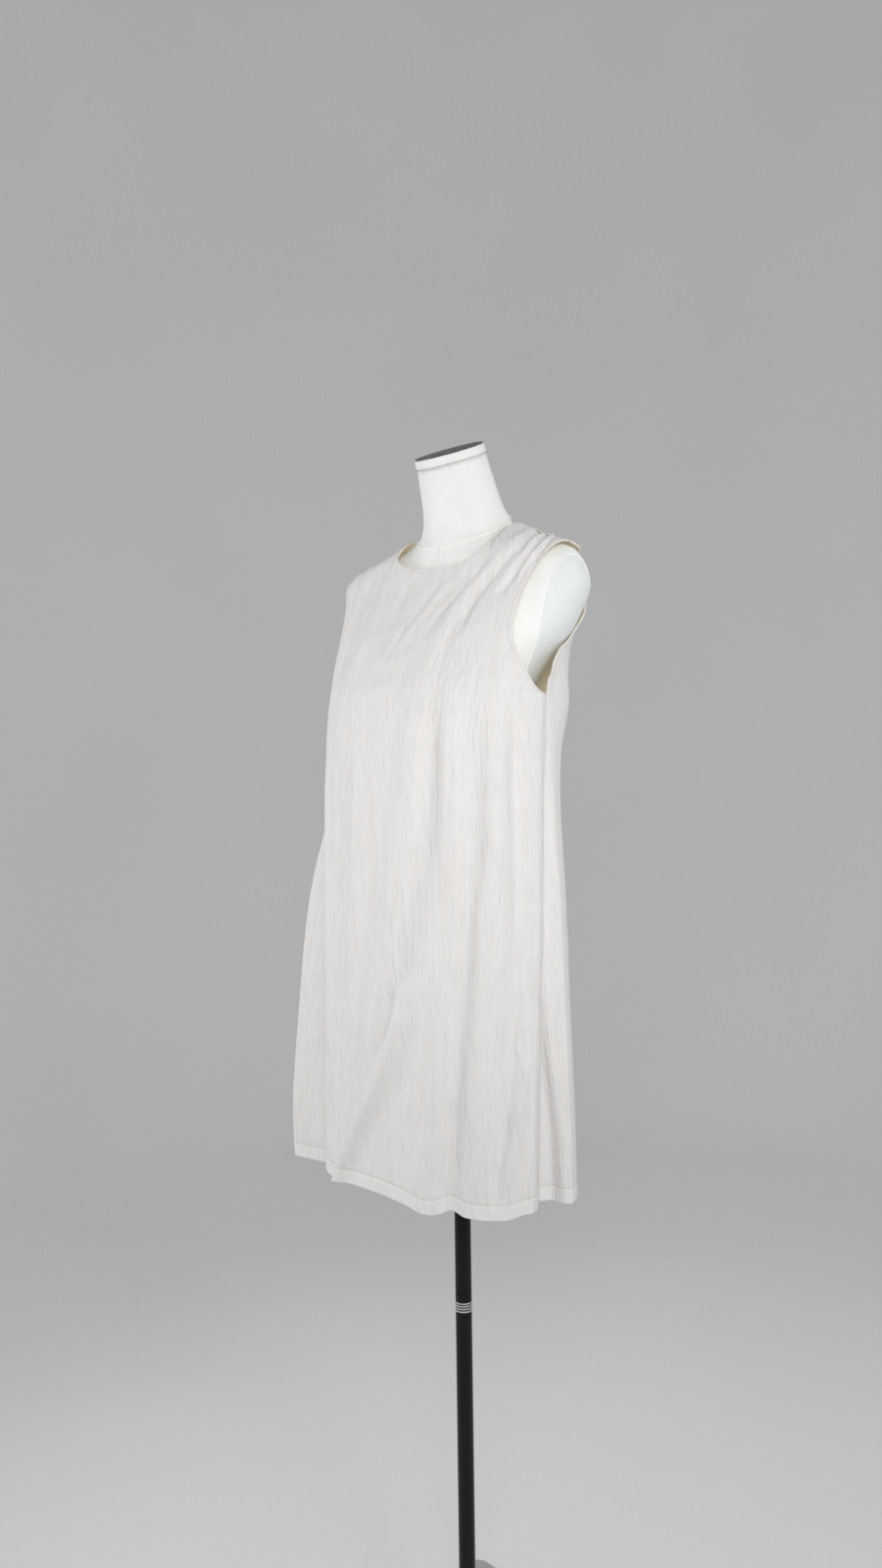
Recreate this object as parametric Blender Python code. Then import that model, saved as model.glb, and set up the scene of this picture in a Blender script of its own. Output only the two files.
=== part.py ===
"""Sleeveless pleated shift dress, standing on a limbless dress form.

Sizes are in metres and +Z is up. The origin is under the middle of the base plate,
on the floor. The front of the dress faces -Y and the wearer's left side is at +X.

The cloth hangs from the form's shoulders. Each panel is a grid of rows and columns:
the columns run up the grain from the hem, and the rows run from one side of the
panel to the other, level below the underarm and bent up to the neckline and the
shoulder seam above it.
"""
import math
from collections import namedtuple

import bmesh
import bpy
import numpy as np

# ---------------------------------------------------------------- driving sizes
GAP = 0.0003                # between pieces that touch
CLOTH = 0.0012              # thickness of the dress cloth
BINDING = 0.0009            # thickness of the bindings
BINDING_WIDTH = 0.006
BINDING_GAP = 0.0016        # between the flat bindings and the curved cloth over them
SEAM = 0.0009               # between the panels at the outer face of a side seam
SHOULDER_SEAM = 0.0022      # and of a shoulder seam, where they lean toward each other

BACK_HEM = 0.636            # height of the back's hem; the front's is in a table
UNDERARM = 1.267            # height of the lowest point of the armholes
NECK_HALF = 0.083           # from the middle to the high point of the neckline
NECK_TOP = 1.516            # height of that point
FRONT_DROP = 0.066          # how far the neckline falls in front
BACK_DROP = 0.025           # and behind
NECK_ROUND = 2.15           # how boxy the neckline is, 2 being an ellipse
SHOULDER_HALF = 0.178       # from the middle to the end of the shoulder seam
FLUTE_REACH = 0.016         # how far from its side seam the back panel has come out
SEAM_FADE = 0.25            # share of the armhole's height over which the fold fades

PLATE_SIDE = 0.341
PLATE_THICK = 0.006
PLATE_CORNER = 0.015
PLATE_TURN = math.radians(-16.6)
POLE_RADIUS = 0.0108
JOINT_BOTTOM = 0.4606       # lower end of the ringed joint
RINGS_HEIGHT = 0.0140
SLEEVE_HEIGHT = 0.0100
RING_COUNT = 4
SOCKET_DEPTH = 0.045
SOCKET_WALL = 0.0045
FLANGE_RADIUS = 0.042
FLANGE_THICK = 0.005
BORE_CLEARANCE = 0.0003
CAP_THICK = 0.0155

# ---------------------------------------------------------------- short tables
# The dress in level sections. half is the half width of the front panel's curve, and
# middle its place along X. front, back and side are places along Y: side is where the
# section is widest. flare_left and flare_right say how much further the back panel stands
# out. tuck is how far inside the front curve the side seam lies. square and full say how
# boxy the front and the back are, 2 being an ellipse.
Cut = namedtuple(
    "Cut", "height half middle front back side flare_left flare_right tuck square full"
)
DRESS = (
    Cut(0.600, 0.1720, -0.0045, -0.1450, 0.088, -0.046, 0.015, 0.088, 0.028, 2.05, 2.05),
    Cut(0.700, 0.1710, -0.0045, -0.1470, 0.088, -0.045, 0.015, 0.097, 0.024, 2.05, 2.05),
    Cut(0.850, 0.1690, -0.0045, -0.1490, 0.086, -0.043, 0.012, 0.088, 0.017, 2.10, 2.10),
    Cut(1.000, 0.1670, -0.0045, -0.1500, 0.084, -0.040, 0.008, 0.072, 0.010, 2.15, 2.15),
    Cut(1.120, 0.1650, -0.0045, -0.1510, 0.084, -0.037, 0.002, 0.040, 0.006, 2.20, 2.20),
    Cut(1.200, 0.1655, -0.0045, -0.1500, 0.088, -0.034, -0.002, 0.012, 0.005, 2.20, 2.50),
    Cut(1.267, 0.1670, -0.0050, -0.1390, 0.096, -0.029, -0.003, -0.003, 0.004, 2.20, 3.30),
    Cut(1.305, 0.1700, -0.0050, -0.1225, 0.102, -0.022, -0.007, -0.007, 0.002, 2.20, 3.00),
    Cut(1.350, 0.1800, -0.0020, -0.0990, 0.108, -0.010, -0.008, -0.008, 0.000, 2.25, 2.40),
    Cut(1.400, 0.1980, 0.0000, -0.0680, 0.109, 0.004, 0.000, 0.000, 0.000, 2.30, 2.30),
    Cut(1.440, 0.2020, 0.0000, -0.0470, 0.104, 0.012, -0.008, -0.008, 0.000, 2.25, 2.30),
    Cut(1.468, 0.1780, 0.0000, -0.0380, 0.099, 0.018, 0.000, 0.000, 0.000, 2.10, 2.10),
    Cut(1.490, 0.1340, 0.0000, -0.0335, 0.097, 0.028, 0.000, 0.000, 0.000, 1.55, 1.60),
    Cut(1.516, 0.0830, 0.0000, -0.0310, 0.097, 0.0375, 0.000, 0.000, 0.000, 1.30, 1.40),
    Cut(1.528, 0.0600, 0.0000, -0.0305, 0.097, 0.040, 0.000, 0.000, 0.000, 1.30, 1.40),
)

# Half width of each panel at its armhole, by how far up it is between the underarm (0)
# and the shoulder seam (1).
Edge = namedtuple("Edge", "rise front back")
ARMHOLE = (
    Edge(0.00, 0.1670, 0.1640),
    Edge(0.10, 0.1590, 0.1630),
    Edge(0.20, 0.1500, 0.1615),
    Edge(0.30, 0.1400, 0.1625),
    Edge(0.40, 0.1350, 0.1655),
    Edge(0.50, 0.1350, 0.1710),
    Edge(0.60, 0.1370, 0.1740),
    Edge(0.70, 0.1410, 0.1710),
    Edge(0.85, 0.1570, 0.1700),
    Edge(1.00, 0.1780, 0.1780),
)

# Height of the front's hem, by its place across.
Hem = namedtuple("Hem", "across height")
HEM = (
    Hem(-0.180, 0.6500),
    Hem(-0.100, 0.6480),
    Hem(-0.010, 0.6400),
    Hem(0.040, 0.6330),
    Hem(0.135, 0.6270),
    Hem(0.180, 0.6300),
)

# Soft folds, ridges where lift is above 0 and troughs where it is below. across is the
# place along the row from the middle, + to the wearer's left.
Fold = namedtuple("Fold", "panel top across_top bottom across_bottom width lift")
FOLDS = (
    Fold("front", 1.34, 0.000, 0.860, -0.026, 0.016, -0.0035),
    Fold("front", 1.34, 0.034, 0.900, 0.004, 0.014, 0.0025),
    Fold("front", 1.26, 0.068, 0.640, 0.060, 0.014, -0.0030),
    Fold("front", 1.20, -0.070, 0.620, -0.085, 0.016, -0.0030),
    Fold("front", 1.10, 0.112, 0.620, 0.118, 0.013, -0.0025),
    Fold("front", 0.90, 0.000, 0.650, -0.110, 0.024, -0.0040),
    Fold("front", 1.22, -0.120, 0.700, -0.124, 0.013, 0.0025),
    Fold("back", 1.42, 0.020, 0.620, 0.045, 0.018, -0.0040),
    Fold("back", 1.36, -0.050, 0.620, -0.080, 0.018, -0.0040),
    Fold("back", 1.20, 0.095, 0.620, 0.125, 0.018, -0.0035),
    Fold("back", 1.20, -0.120, 0.620, -0.175, 0.020, -0.0045),
    Fold("back", 1.10, 0.160, 0.620, 0.195, 0.016, -0.0025),
)

# Tucks sewn into each shoulder seam: place from the middle, and how deep and how long.
Tuck = namedtuple("Tuck", "across width depth length")
TUCKS = (
    Tuck(0.101, 0.0050, 0.0022, 0.115),
    Tuck(0.124, 0.0060, 0.0032, 0.150),
    Tuck(0.147, 0.0055, 0.0028, 0.105),
)

# The form in rings, from its flat underside to the top of the neck. lean is the slope
# of the ring in degrees, higher at the back.
Ring = namedtuple("Ring", "height half front back side square lean")
FORM = (
    Ring(0.7600, 0.124, -0.086, 0.060, 0.000, 2.2, 0),
    Ring(0.7660, 0.131, -0.092, 0.066, 0.000, 2.2, 0),
    Ring(0.8000, 0.140, -0.098, 0.070, 0.000, 2.2, 0),
    Ring(0.8800, 0.147, -0.102, 0.072, 0.000, 2.1, 0),
    Ring(0.9600, 0.141, -0.102, 0.069, -0.002, 2.1, 0),
    Ring(1.0300, 0.124, -0.098, 0.062, -0.006, 2.1, 0),
    Ring(1.0900, 0.111, -0.095, 0.058, -0.010, 2.1, 0),
    Ring(1.1600, 0.114, -0.110, 0.062, -0.014, 2.1, 0),
    Ring(1.2200, 0.119, -0.137, 0.072, -0.016, 2.1, 0),
    Ring(1.2700, 0.120, -0.132, 0.082, -0.010, 2.1, 0),
    Ring(1.3100, 0.136, -0.112, 0.091, 0.000, 2.1, 0),
    Ring(1.3500, 0.160, -0.090, 0.097, 0.008, 2.15, 0),
    Ring(1.3850, 0.182, -0.070, 0.099, 0.013, 2.2, 0),
    Ring(1.4150, 0.191, -0.0530, 0.0980, 0.016, 2.3, 0),
    Ring(1.4400, 0.183, -0.0400, 0.0960, 0.018, 2.4, 0),
    Ring(1.4600, 0.162, -0.0325, 0.0940, 0.021, 1.9, 1),
    Ring(1.4780, 0.138, -0.0275, 0.0910, 0.027, 1.55, 2),
    Ring(1.4920, 0.114, -0.0255, 0.0893, 0.033, 1.42, 3),
    Ring(1.5018, 0.091, -0.0245, 0.0880, 0.038, 1.48, 5),
    Ring(1.5105, 0.073, -0.0235, 0.0870, 0.039, 1.75, 7),
    Ring(1.5240, 0.0630, -0.0225, 0.0850, 0.036, 2.10, 12),
    Ring(1.5400, 0.0575, -0.0260, 0.0760, 0.027, 2.0, 17),
    Ring(1.5600, 0.0535, -0.0320, 0.0660, 0.018, 2.0, 21),
    Ring(1.5850, 0.0505, -0.0400, 0.0520, 0.006, 2.0, 25),
    Ring(1.6045, 0.0485, -0.0460, 0.0425, -0.002, 2.0, 26),
)

# ---------------------------------------------------------------- how finely things are cut
FORM_AROUND = 40
HIPS = 0.94                 # the form's rings are twice as close above this height
SKIRT_ROWS = 13
SKIRT_CROWDING = 1.35       # above 1, rows lie closer together near the bust
BODICE_ROWS = 12
BODICE_CROWDING = 1.3       # above 1, closer together near the shoulders
SHOULDER_COLUMNS = 12       # steps along each shoulder seam
NECK_COLUMNS = 14           # steps along the neckline
DENSE = 401                 # points on a row before it is divided into columns
SMOOTH_ANGLE = math.radians(40)


# ---------------------------------------------------------------- curves and tables
def smooth_through(places, values, at):
    """Smooth curve through the values, which never overshoots them.

    Each stretch is a cubic whose end slopes are the harmonic means of the slopes of
    the stretches on either side, or nothing where these differ in sign.
    """
    places = np.asarray(places, float)
    values = np.asarray(values, float)
    at = np.clip(np.asarray(at, float), places[0], places[-1])
    step = np.diff(places)
    slope = np.diff(values) / step
    ends = np.concatenate([slope[:1], np.zeros(len(values) - 2), slope[-1:]])
    product = slope[:-1] * slope[1:]
    total = slope[:-1] + slope[1:]
    same = product > 0
    ends[1:-1][same] = 2 * product[same] / total[same]
    k = np.clip(np.searchsorted(places, at, side="right") - 1, 0, len(step) - 1)
    t = (at - places[k]) / step[k]
    start = values[k] * (1 + 2 * t) * (1 - t) ** 2 + step[k] * ends[k] * t * (1 - t) ** 2
    end = values[k + 1] * t * t * (3 - 2 * t) + step[k] * ends[k + 1] * t * t * (t - 1)
    return start + end


def read(table, name, at):
    """Value of a table's named column at a place along its first column."""
    return smooth_through([row[0] for row in table], [getattr(row, name) for row in table], at)


def soft_step(t):
    """0 up to 0, 1 from 1 on, and a smooth rise between."""
    t = np.clip(t, 0, 1)
    return t * t * (3 - 2 * t)


# ---------------------------------------------------------------- the cloth's surface
def half_width(panel, x, z):
    """Half width of a panel's level section, on the side that x lies."""
    half = read(DRESS, "half", z)
    if panel == "front":
        return half
    left = read(DRESS, "flare_left", z)
    right = read(DRESS, "flare_right", z)
    return half + np.where(x > 0, left, right)


def place_along_y(panel, x, z):
    """Y of the cloth at x and z: a rounded oblong from the side line to the panel's middle."""
    part = np.clip(np.abs(x) / half_width(panel, x, z), 0, 1)
    square = read(DRESS, "square" if panel == "front" else "full", z)
    side = read(DRESS, "side", z)
    return side + (read(DRESS, panel, z) - side) * (1 - part ** square) ** (1 / square)


def ridge_height(x):
    """Height of the shoulder line: where the level section is just as wide as x."""
    heights = np.linspace(1.44, 1.528, 177)
    widths = read(DRESS, "half", heights)
    return np.interp(-np.abs(x), -widths, heights)


def top_height(panel, x):
    """Upper edge of a panel: the neckline, and the shoulder line beyond it."""
    drop = FRONT_DROP if panel == "front" else BACK_DROP
    part = np.clip(np.abs(x) / NECK_HALF, 0, 1)
    neckline = NECK_TOP - drop * (1 - part ** NECK_ROUND) ** (1 / NECK_ROUND)
    return np.where(np.abs(x) < NECK_HALF, neckline, ridge_height(x))


def hem_height(panel, x):
    """Lower edge of a panel: level behind, and rising to the wearer's right in front."""
    if panel == "back":
        return np.full_like(x, BACK_HEM)
    return read(HEM, "height", x)


def fold_in_at_sides(panel, row, up):
    """Carry the two ends of a row in to the side seams, and less and less above them.

    The front panel turns in from a crisp fold, evenly all the way to the seam. The back
    panel comes straight out of the seam and so stands as a flute behind it.
    """
    share = 1 - soft_step(up / SEAM_FADE)
    z = row[:, 2]
    steps = np.hypot(np.diff(row[:, 0]), np.diff(row[:, 1]))
    run = np.concatenate([[0], np.cumsum(steps)])
    for side, distance in ((1, run), (-1, run[-1] - run)):
        depth = read(DRESS, "tuck", z)
        if panel == "back":
            depth = depth + read(DRESS, "flare_left" if side > 0 else "flare_right", z)
        if panel == "front":
            reach = 0.010 + 1.2 * depth
            inward = (1 - np.clip(distance / reach, 0, 1)) ** 1.2
        else:
            inward = 1 - soft_step(distance / FLUTE_REACH)
        row[:, 0] -= side * depth * inward * share
    return row


def panel_row(panel, up):
    """One dense row of a panel. up runs from -1 at the hem, by 0 at the underarm, to 1."""
    across = np.sin(np.linspace(math.pi / 2, -math.pi / 2, DENSE))
    if up > 0:
        x = across * read(ARMHOLE, panel, up)
        z = UNDERARM + (top_height(panel, x) - UNDERARM) * up
    else:
        x = across * half_width(panel, across, BACK_HEM)
        z = UNDERARM + (hem_height(panel, x) - UNDERARM) * -up
        x = across * half_width(panel, across, z)
    row = np.stack([x, place_along_y(panel, x, z), z], axis=1)
    row[:, 1] += (-1 if panel == "front" else 1) * (SHOULDER_SEAM / 2) * max(up, 0)
    row = fold_in_at_sides(panel, row, up)
    row[:, 0] += read(DRESS, "middle", row[:, 2])
    return row


def lengths_along(row):
    """Length from the start of a line to each of its points."""
    steps = np.linalg.norm(np.diff(row, axis=0), axis=1)
    return np.concatenate([[0], np.cumsum(steps)])


def column_shares(panel, up):
    """Where the columns cut a row, as shares of its length.

    They are even at the hem. At the top, the shoulder seams take SHOULDER_COLUMNS steps
    each and the neckline NECK_COLUMNS.
    """
    count = 2 * SHOULDER_COLUMNS + NECK_COLUMNS
    even = np.linspace(0, 1, count + 1)
    top = panel_row(panel, 1)
    run = lengths_along(top)
    corner = np.interp(-NECK_HALF, -top[:, 0], run) / run[-1]
    marks = [0, SHOULDER_COLUMNS, SHOULDER_COLUMNS + NECK_COLUMNS, count]
    shaped = np.interp(np.arange(count + 1), marks, [0, corner, 1 - corner, 1])
    return even + (shaped - even) * soft_step((up + 0.35) / 1.35)


def panel_grid(panel):
    """Points of a panel's outer face, rows by columns, and each point's place across."""
    skirt = -np.linspace(1, 0, SKIRT_ROWS, endpoint=False) ** SKIRT_CROWDING
    bodice = 1 - (1 - np.linspace(0, 1, BODICE_ROWS)) ** BODICE_CROWDING
    points = []
    places = []
    for up in np.concatenate([skirt, bodice]):
        row = panel_row(panel, up)
        run = lengths_along(row)
        cuts = column_shares(panel, up) * (run[-1] - SEAM) + SEAM / 2
        points.append(np.stack([np.interp(cuts, run, row[:, k]) for k in range(3)], axis=1))
        places.append(run[-1] / 2 - cuts)
    return np.array(points), np.array(places)


def outward(grid, panel):
    """Unit normals of a grid of points, away from the wearer."""
    along = np.gradient(grid, axis=1)
    upward = np.gradient(grid, axis=0)
    normal = np.cross(upward, along)
    normal /= np.linalg.norm(normal, axis=2, keepdims=True)
    return normal if panel == "front" else -normal


def add_folds(panel, grid, places):
    """Lift or sink the cloth along its normal by the folds, and down by the tucks."""
    z = grid[:, :, 2]
    shift = np.zeros_like(z)
    for fold in FOLDS:
        if fold.panel != panel:
            continue
        part = (fold.top - z) / (fold.top - fold.bottom)
        middle = fold.across_top + (fold.across_bottom - fold.across_top) * part
        ends = soft_step(part / 0.25) * soft_step((1.15 - part) / 0.25)
        shift += fold.lift * ends * np.exp(-(((places - middle) / fold.width) ** 2))
    folded = grid + shift[:, :, None] * outward(grid, panel)
    ridge = ridge_height(np.clip(np.abs(grid[:, :, 0]), NECK_HALF, SHOULDER_HALF))
    for tuck in TUCKS:
        length = tuck.length if panel == "front" else 0.3 * tuck.length
        near = np.exp(-(((np.abs(grid[:, :, 0]) - tuck.across) / tuck.width) ** 2))
        folded[:, :, 2] -= tuck.depth * near * (1 - soft_step((ridge - z) / length))
    return folded


# ---------------------------------------------------------------- meshes and materials
def material(name, colour, roughness, metallic=0.0):
    """A plain Principled material."""
    made = bpy.data.materials.new(name)
    made.use_nodes = True
    shader = made.node_tree.nodes["Principled BSDF"]
    shader.inputs["Base Color"].default_value = (*colour, 1)
    shader.inputs["Roughness"].default_value = roughness
    shader.inputs["Metallic"].default_value = metallic
    return made


def place(name, mesh, finish, parent, location=(0, 0, 0)):
    """Link a mesh as a smooth-shaded object with its material."""
    mesh.materials.append(finish)
    mesh.shade_smooth()
    mesh.set_sharp_from_angle(angle=SMOOTH_ANGLE)
    made = bpy.data.objects.new(name, mesh)
    bpy.context.scene.collection.objects.link(made)
    made.parent = parent
    made.location = location
    return made


def grid_mesh(name, grid, closed=False):
    """Mesh of a grid of points, rows by columns; closed joins the last column to the first."""
    rows, columns = grid.shape[:2]
    index = np.arange(rows * columns).reshape(rows, columns)
    if closed:
        index = np.concatenate([index, index[:, :1]], axis=1)
    corners = (index[:-1, :-1], index[:-1, 1:], index[1:, 1:], index[1:, :-1])
    faces = np.stack(corners, axis=-1).reshape(-1, 4)
    mesh = bpy.data.meshes.new(name)
    mesh.from_pydata(grid.reshape(-1, 3).tolist(), [], faces.tolist())
    return mesh


def thicken(made, thickness):
    """Give a sheet its wall, to the inside of its outer face."""
    wall = made.modifiers.new("wall", "SOLIDIFY")
    wall.thickness = thickness
    wall.offset = -1


def ring_points(ring, around):
    """One ring of the form, counter-clockwise from the wearer's left."""
    turn = np.linspace(0, 2 * math.pi, around, endpoint=False)
    power = 2 / ring.square
    x = ring.half * np.sign(np.cos(turn)) * np.abs(np.cos(turn)) ** power
    reach = np.where(np.sin(turn) > 0, ring.back - ring.side, ring.side - ring.front)
    y = ring.side + reach * np.sign(np.sin(turn)) * np.abs(np.sin(turn)) ** power
    middle = (ring.front + ring.back) / 2
    z = ring.height + math.tan(math.radians(ring.lean)) * (y - middle)
    return np.stack([x, y, z], axis=1)


def cap_ends(mesh):
    """Close the open ends of a tube of rings with flat faces."""
    shape = bmesh.new()
    shape.from_mesh(mesh)
    rims = [edge for edge in shape.edges if edge.is_boundary]
    bmesh.ops.holes_fill(shape, edges=rims, sides=0)
    bmesh.ops.recalc_face_normals(shape, faces=shape.faces)
    shape.to_mesh(mesh)
    shape.free()


def turned(name, outline, steps=32):
    """A closed outline of (radius, height) points spun about the Z axis."""
    shape = bmesh.new()
    loop = [shape.verts.new((radius, 0, height)) for radius, height in outline]
    edges = [shape.edges.new(pair) for pair in zip(loop, loop[1:] + loop[:1])]
    bmesh.ops.spin(
        shape, geom=loop + edges, cent=(0, 0, 0), axis=(0, 0, 1),
        angle=2 * math.pi, steps=steps, use_merge=True, use_duplicate=False,
    )
    bmesh.ops.remove_doubles(shape, verts=shape.verts, dist=0.00001)
    bmesh.ops.dissolve_degenerate(shape, edges=shape.edges, dist=0.00001)
    bmesh.ops.recalc_face_normals(shape, faces=shape.faces)
    mesh = bpy.data.meshes.new(name)
    shape.to_mesh(mesh)
    shape.free()
    return mesh


# ---------------------------------------------------------------- the dress
def make_panel(panel, finish, parent):
    """One panel of the dress, with its folds. Gives back its grid, for the bindings."""
    grid, places = panel_grid(panel)
    folded = add_folds(panel, grid, places)
    facing_out = folded[:, ::-1] if panel == "front" else folded
    made = place(f"dress_{panel}", grid_mesh(f"dress_{panel}", facing_out), finish, parent)
    thicken(made, CLOTH)
    return folded


def edge_strip(name, edge, inner, normal, finish, parent):
    """A binding: a narrow closed band under the cloth along an edge.

    edge is the loop of points on the cloth's outer face, inner the direction into the
    panel and normal the direction away from the wearer.
    """
    under = -(CLOTH + BINDING_GAP) * normal
    near = edge + GAP * inner + under
    far = edge + BINDING_WIDTH * inner + under
    band = np.stack([far, near], axis=0)
    made = place(name, grid_mesh(name, band, closed=True), finish, parent)
    thicken(made, BINDING)


def unit(vectors):
    """Vectors brought to length 1."""
    return vectors / np.linalg.norm(vectors, axis=-1, keepdims=True)


def across_to(vectors, lines):
    """Unit vectors with what they have along the lines taken out."""
    return unit(vectors - (vectors * lines).sum(axis=-1, keepdims=True) * lines)


def edge_frame(grid, panel, row_slice, column, step):
    """Edge points of a grid's column, with directions into the panel and outward."""
    edge = grid[row_slice, column]
    along = unit(np.gradient(edge, axis=0))
    inner = across_to(grid[row_slice, column + step] - edge, along)
    normal = across_to(outward(grid, panel)[row_slice, column], inner)
    return edge, inner, normal


def armhole_frame(grid, panel, column, step):
    """As edge_frame, for an armhole, where the binding's lowest end lies down the seam."""
    edge, inner, normal = edge_frame(grid, panel, slice(SKIRT_ROWS, None), column, step)
    inner[0] = unit(grid[SKIRT_ROWS - 1, column] - edge[0])
    normal[0] = across_to(normal[0], inner[0])
    return edge, inner, normal


def make_bindings(front, back, finish, parent):
    """Bindings along the neckline and both armholes."""
    for side, column, step in (("left", 0, 1), ("right", -1, -1)):
        ahead = armhole_frame(front, "front", column, step)
        behind = armhole_frame(back, "back", column, step)
        parts = [np.concatenate([a, b[::-1]]) for a, b in zip(ahead, behind)]
        if side == "left":
            parts = [part[::-1] for part in parts]
        edge_strip(f"armhole_binding_{side}", *parts, finish, parent)
    neck = slice(SHOULDER_COLUMNS, SHOULDER_COLUMNS + NECK_COLUMNS + 1)
    frames = []
    for grid, panel in ((front, "front"), (back, "back")):
        frames.append(edge_frame(grid.transpose(1, 0, 2), panel, neck, -1, -1))
    ahead, behind = frames
    ahead = (ahead[0], ahead[1], -ahead[2])
    behind = (behind[0], behind[1], -behind[2])
    parts = [np.concatenate([a, b[::-1]])[::-1] for a, b in zip(ahead, behind)]
    edge_strip("neck_binding", *parts, finish, parent)


# ---------------------------------------------------------------- the form and its stand
def make_form(cover, metal, parent):
    """The limbless form, the cap on its neck, and the socket under it."""
    rings = np.array([ring_points(ring, FORM_AROUND) for ring in form_rings()])
    body = grid_mesh("form_body", rings, closed=True)
    cap_ends(body)
    place("form_body", body, cover, parent)
    make_cap(cover, parent)
    make_socket(metal, parent)


def form_rings():
    """The table's rings, with one more between each two of them above the hips."""
    heights = [ring.height for ring in FORM]
    between = [(a + b) / 2 for a, b in zip(heights, heights[1:]) if a > HIPS]
    wanted = sorted(heights + between)
    columns = [read(FORM, name, wanted) for name in Ring._fields[1:]]
    return [Ring(*values) for values in zip(wanted, *columns)]


def make_cap(finish, parent):
    """The neck's flat cap: the top ring carried on along its own axis."""
    top = FORM[-1]
    ring = ring_points(top, FORM_AROUND)
    middle = ring.mean(axis=0)
    lean = math.radians(top.lean)
    axis = np.array([0, -math.sin(lean), math.cos(lean)])
    outline = ((GAP, 1.000), (0.001, 1.012), (CAP_THICK - 0.001, 1.002), (CAP_THICK, 0.985))
    rings = np.array([middle + (ring - middle) * wide + axis * along for along, wide in outline])
    cap = grid_mesh("neck_cap", rings, closed=True)
    cap_ends(cap)
    place("neck_cap", cap, finish, parent)


def make_socket(finish, parent):
    """Flange under the form, with a blind bore for the pole."""
    top = FORM[0].height - GAP
    bottom = top - SOCKET_DEPTH
    bore = POLE_RADIUS + BORE_CLEARANCE
    outline = (
        (0, top), (FLANGE_RADIUS, top), (FLANGE_RADIUS, top - FLANGE_THICK),
        (bore + SOCKET_WALL, top - FLANGE_THICK), (bore + SOCKET_WALL, bottom),
        (bore, bottom), (bore, top - FLANGE_THICK), (0, top - FLANGE_THICK),
    )
    place("form_socket", turned("form_socket", outline), finish, parent)


def rod(name, radius, bottom, top, finish, parent):
    """A round rod between two heights."""
    bevel = 0.0004
    outline = (
        (0, bottom), (radius - bevel, bottom), (radius, bottom + bevel),
        (radius, top - bevel), (radius - bevel, top), (0, top),
    )
    place(name, turned(name, outline), finish, parent)


def ring_outline():
    """Outline of the ringed joint: round ridges with narrow grooves between them."""
    pitch = RINGS_HEIGHT / RING_COUNT
    outline = [(0, JOINT_BOTTOM)]
    for ring in range(RING_COUNT):
        low = JOINT_BOTTOM + ring * pitch
        for turn in (-80, -40, 0, 40, 80):
            angle = math.radians(turn)
            radius = POLE_RADIUS - 0.0009 + 0.0013 * math.cos(angle)
            outline.append((radius, low + pitch * (0.5 + 0.49 * math.sin(angle))))
    outline.append((0, JOINT_BOTTOM + RINGS_HEIGHT))
    return outline


def make_stand(dark, bright, plate, parent):
    """The pole in two lengths with its ringed joint, on a square plate."""
    joint_top = JOINT_BOTTOM + RINGS_HEIGHT
    sleeve_top = joint_top + GAP + SLEEVE_HEIGHT
    socket_floor = FORM[0].height - GAP - FLANGE_THICK
    rod("pole_lower", POLE_RADIUS, PLATE_THICK + GAP, JOINT_BOTTOM - GAP, dark, parent)
    place("joint_rings", turned("joint_rings", ring_outline(), 28), bright, parent)
    rod("joint_sleeve", POLE_RADIUS, joint_top + GAP, sleeve_top, dark, parent)
    rod("pole_upper", POLE_RADIUS, sleeve_top + GAP, socket_floor - GAP, dark, parent)

    shape = bmesh.new()
    bmesh.ops.create_cube(shape, size=1)
    bmesh.ops.scale(shape, vec=(PLATE_SIDE, PLATE_SIDE, PLATE_THICK), verts=shape.verts)
    upright = [e for e in shape.edges if abs(e.verts[0].co.z - e.verts[1].co.z) > PLATE_THICK / 2]
    bmesh.ops.bevel(
        shape, geom=upright, offset=PLATE_CORNER, segments=6, profile=0.5, affect="EDGES",
    )
    mesh = bpy.data.meshes.new("base_plate")
    shape.to_mesh(mesh)
    shape.free()
    made = place("base_plate", mesh, plate, parent, (0, 0, PLATE_THICK / 2))
    made.rotation_euler[2] = PLATE_TURN
    edge = made.modifiers.new("edge", "BEVEL")
    edge.width = 0.0008
    edge.segments = 1
    edge.limit_method = "ANGLE"
    edge.angle_limit = math.radians(60)


def build():
    """Clear the scene and make every piece."""
    for old in list(bpy.data.objects):
        bpy.data.objects.remove(old)
    whole = bpy.data.objects.new("dress_on_form", None)
    bpy.context.scene.collection.objects.link(whole)
    cloth = material("cloth", (0.83, 0.80, 0.775), 0.85)
    tape = material("tape", (0.80, 0.75, 0.68), 0.85)
    cover = material("cover", (0.85, 0.86, 0.84), 0.7)
    dark = material("dark_metal", (0.02, 0.02, 0.022), 0.3, 0.8)
    bright = material("bright_metal", (0.7, 0.7, 0.7), 0.15, 1.0)
    plate = material("plate_metal", (0.5, 0.5, 0.5), 0.4, 1.0)
    front = make_panel("front", cloth, whole)
    back = make_panel("back", cloth, whole)
    make_bindings(front, back, tape, whole)
    make_form(cover, dark, whole)
    make_stand(dark, bright, plate, whole)


build()
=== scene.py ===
"""Pleated shift dress on a limbless dress form: the looks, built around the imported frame.

Sizes are in metres and +Z is up. The front of the dress faces -Y and the wearer's left
side is at +X. The cloth is worked out from the same level sections as the frame's panels,
far more finely, and then creased, crinkled, hemmed and stitched.
"""
import math
from collections import namedtuple

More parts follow.
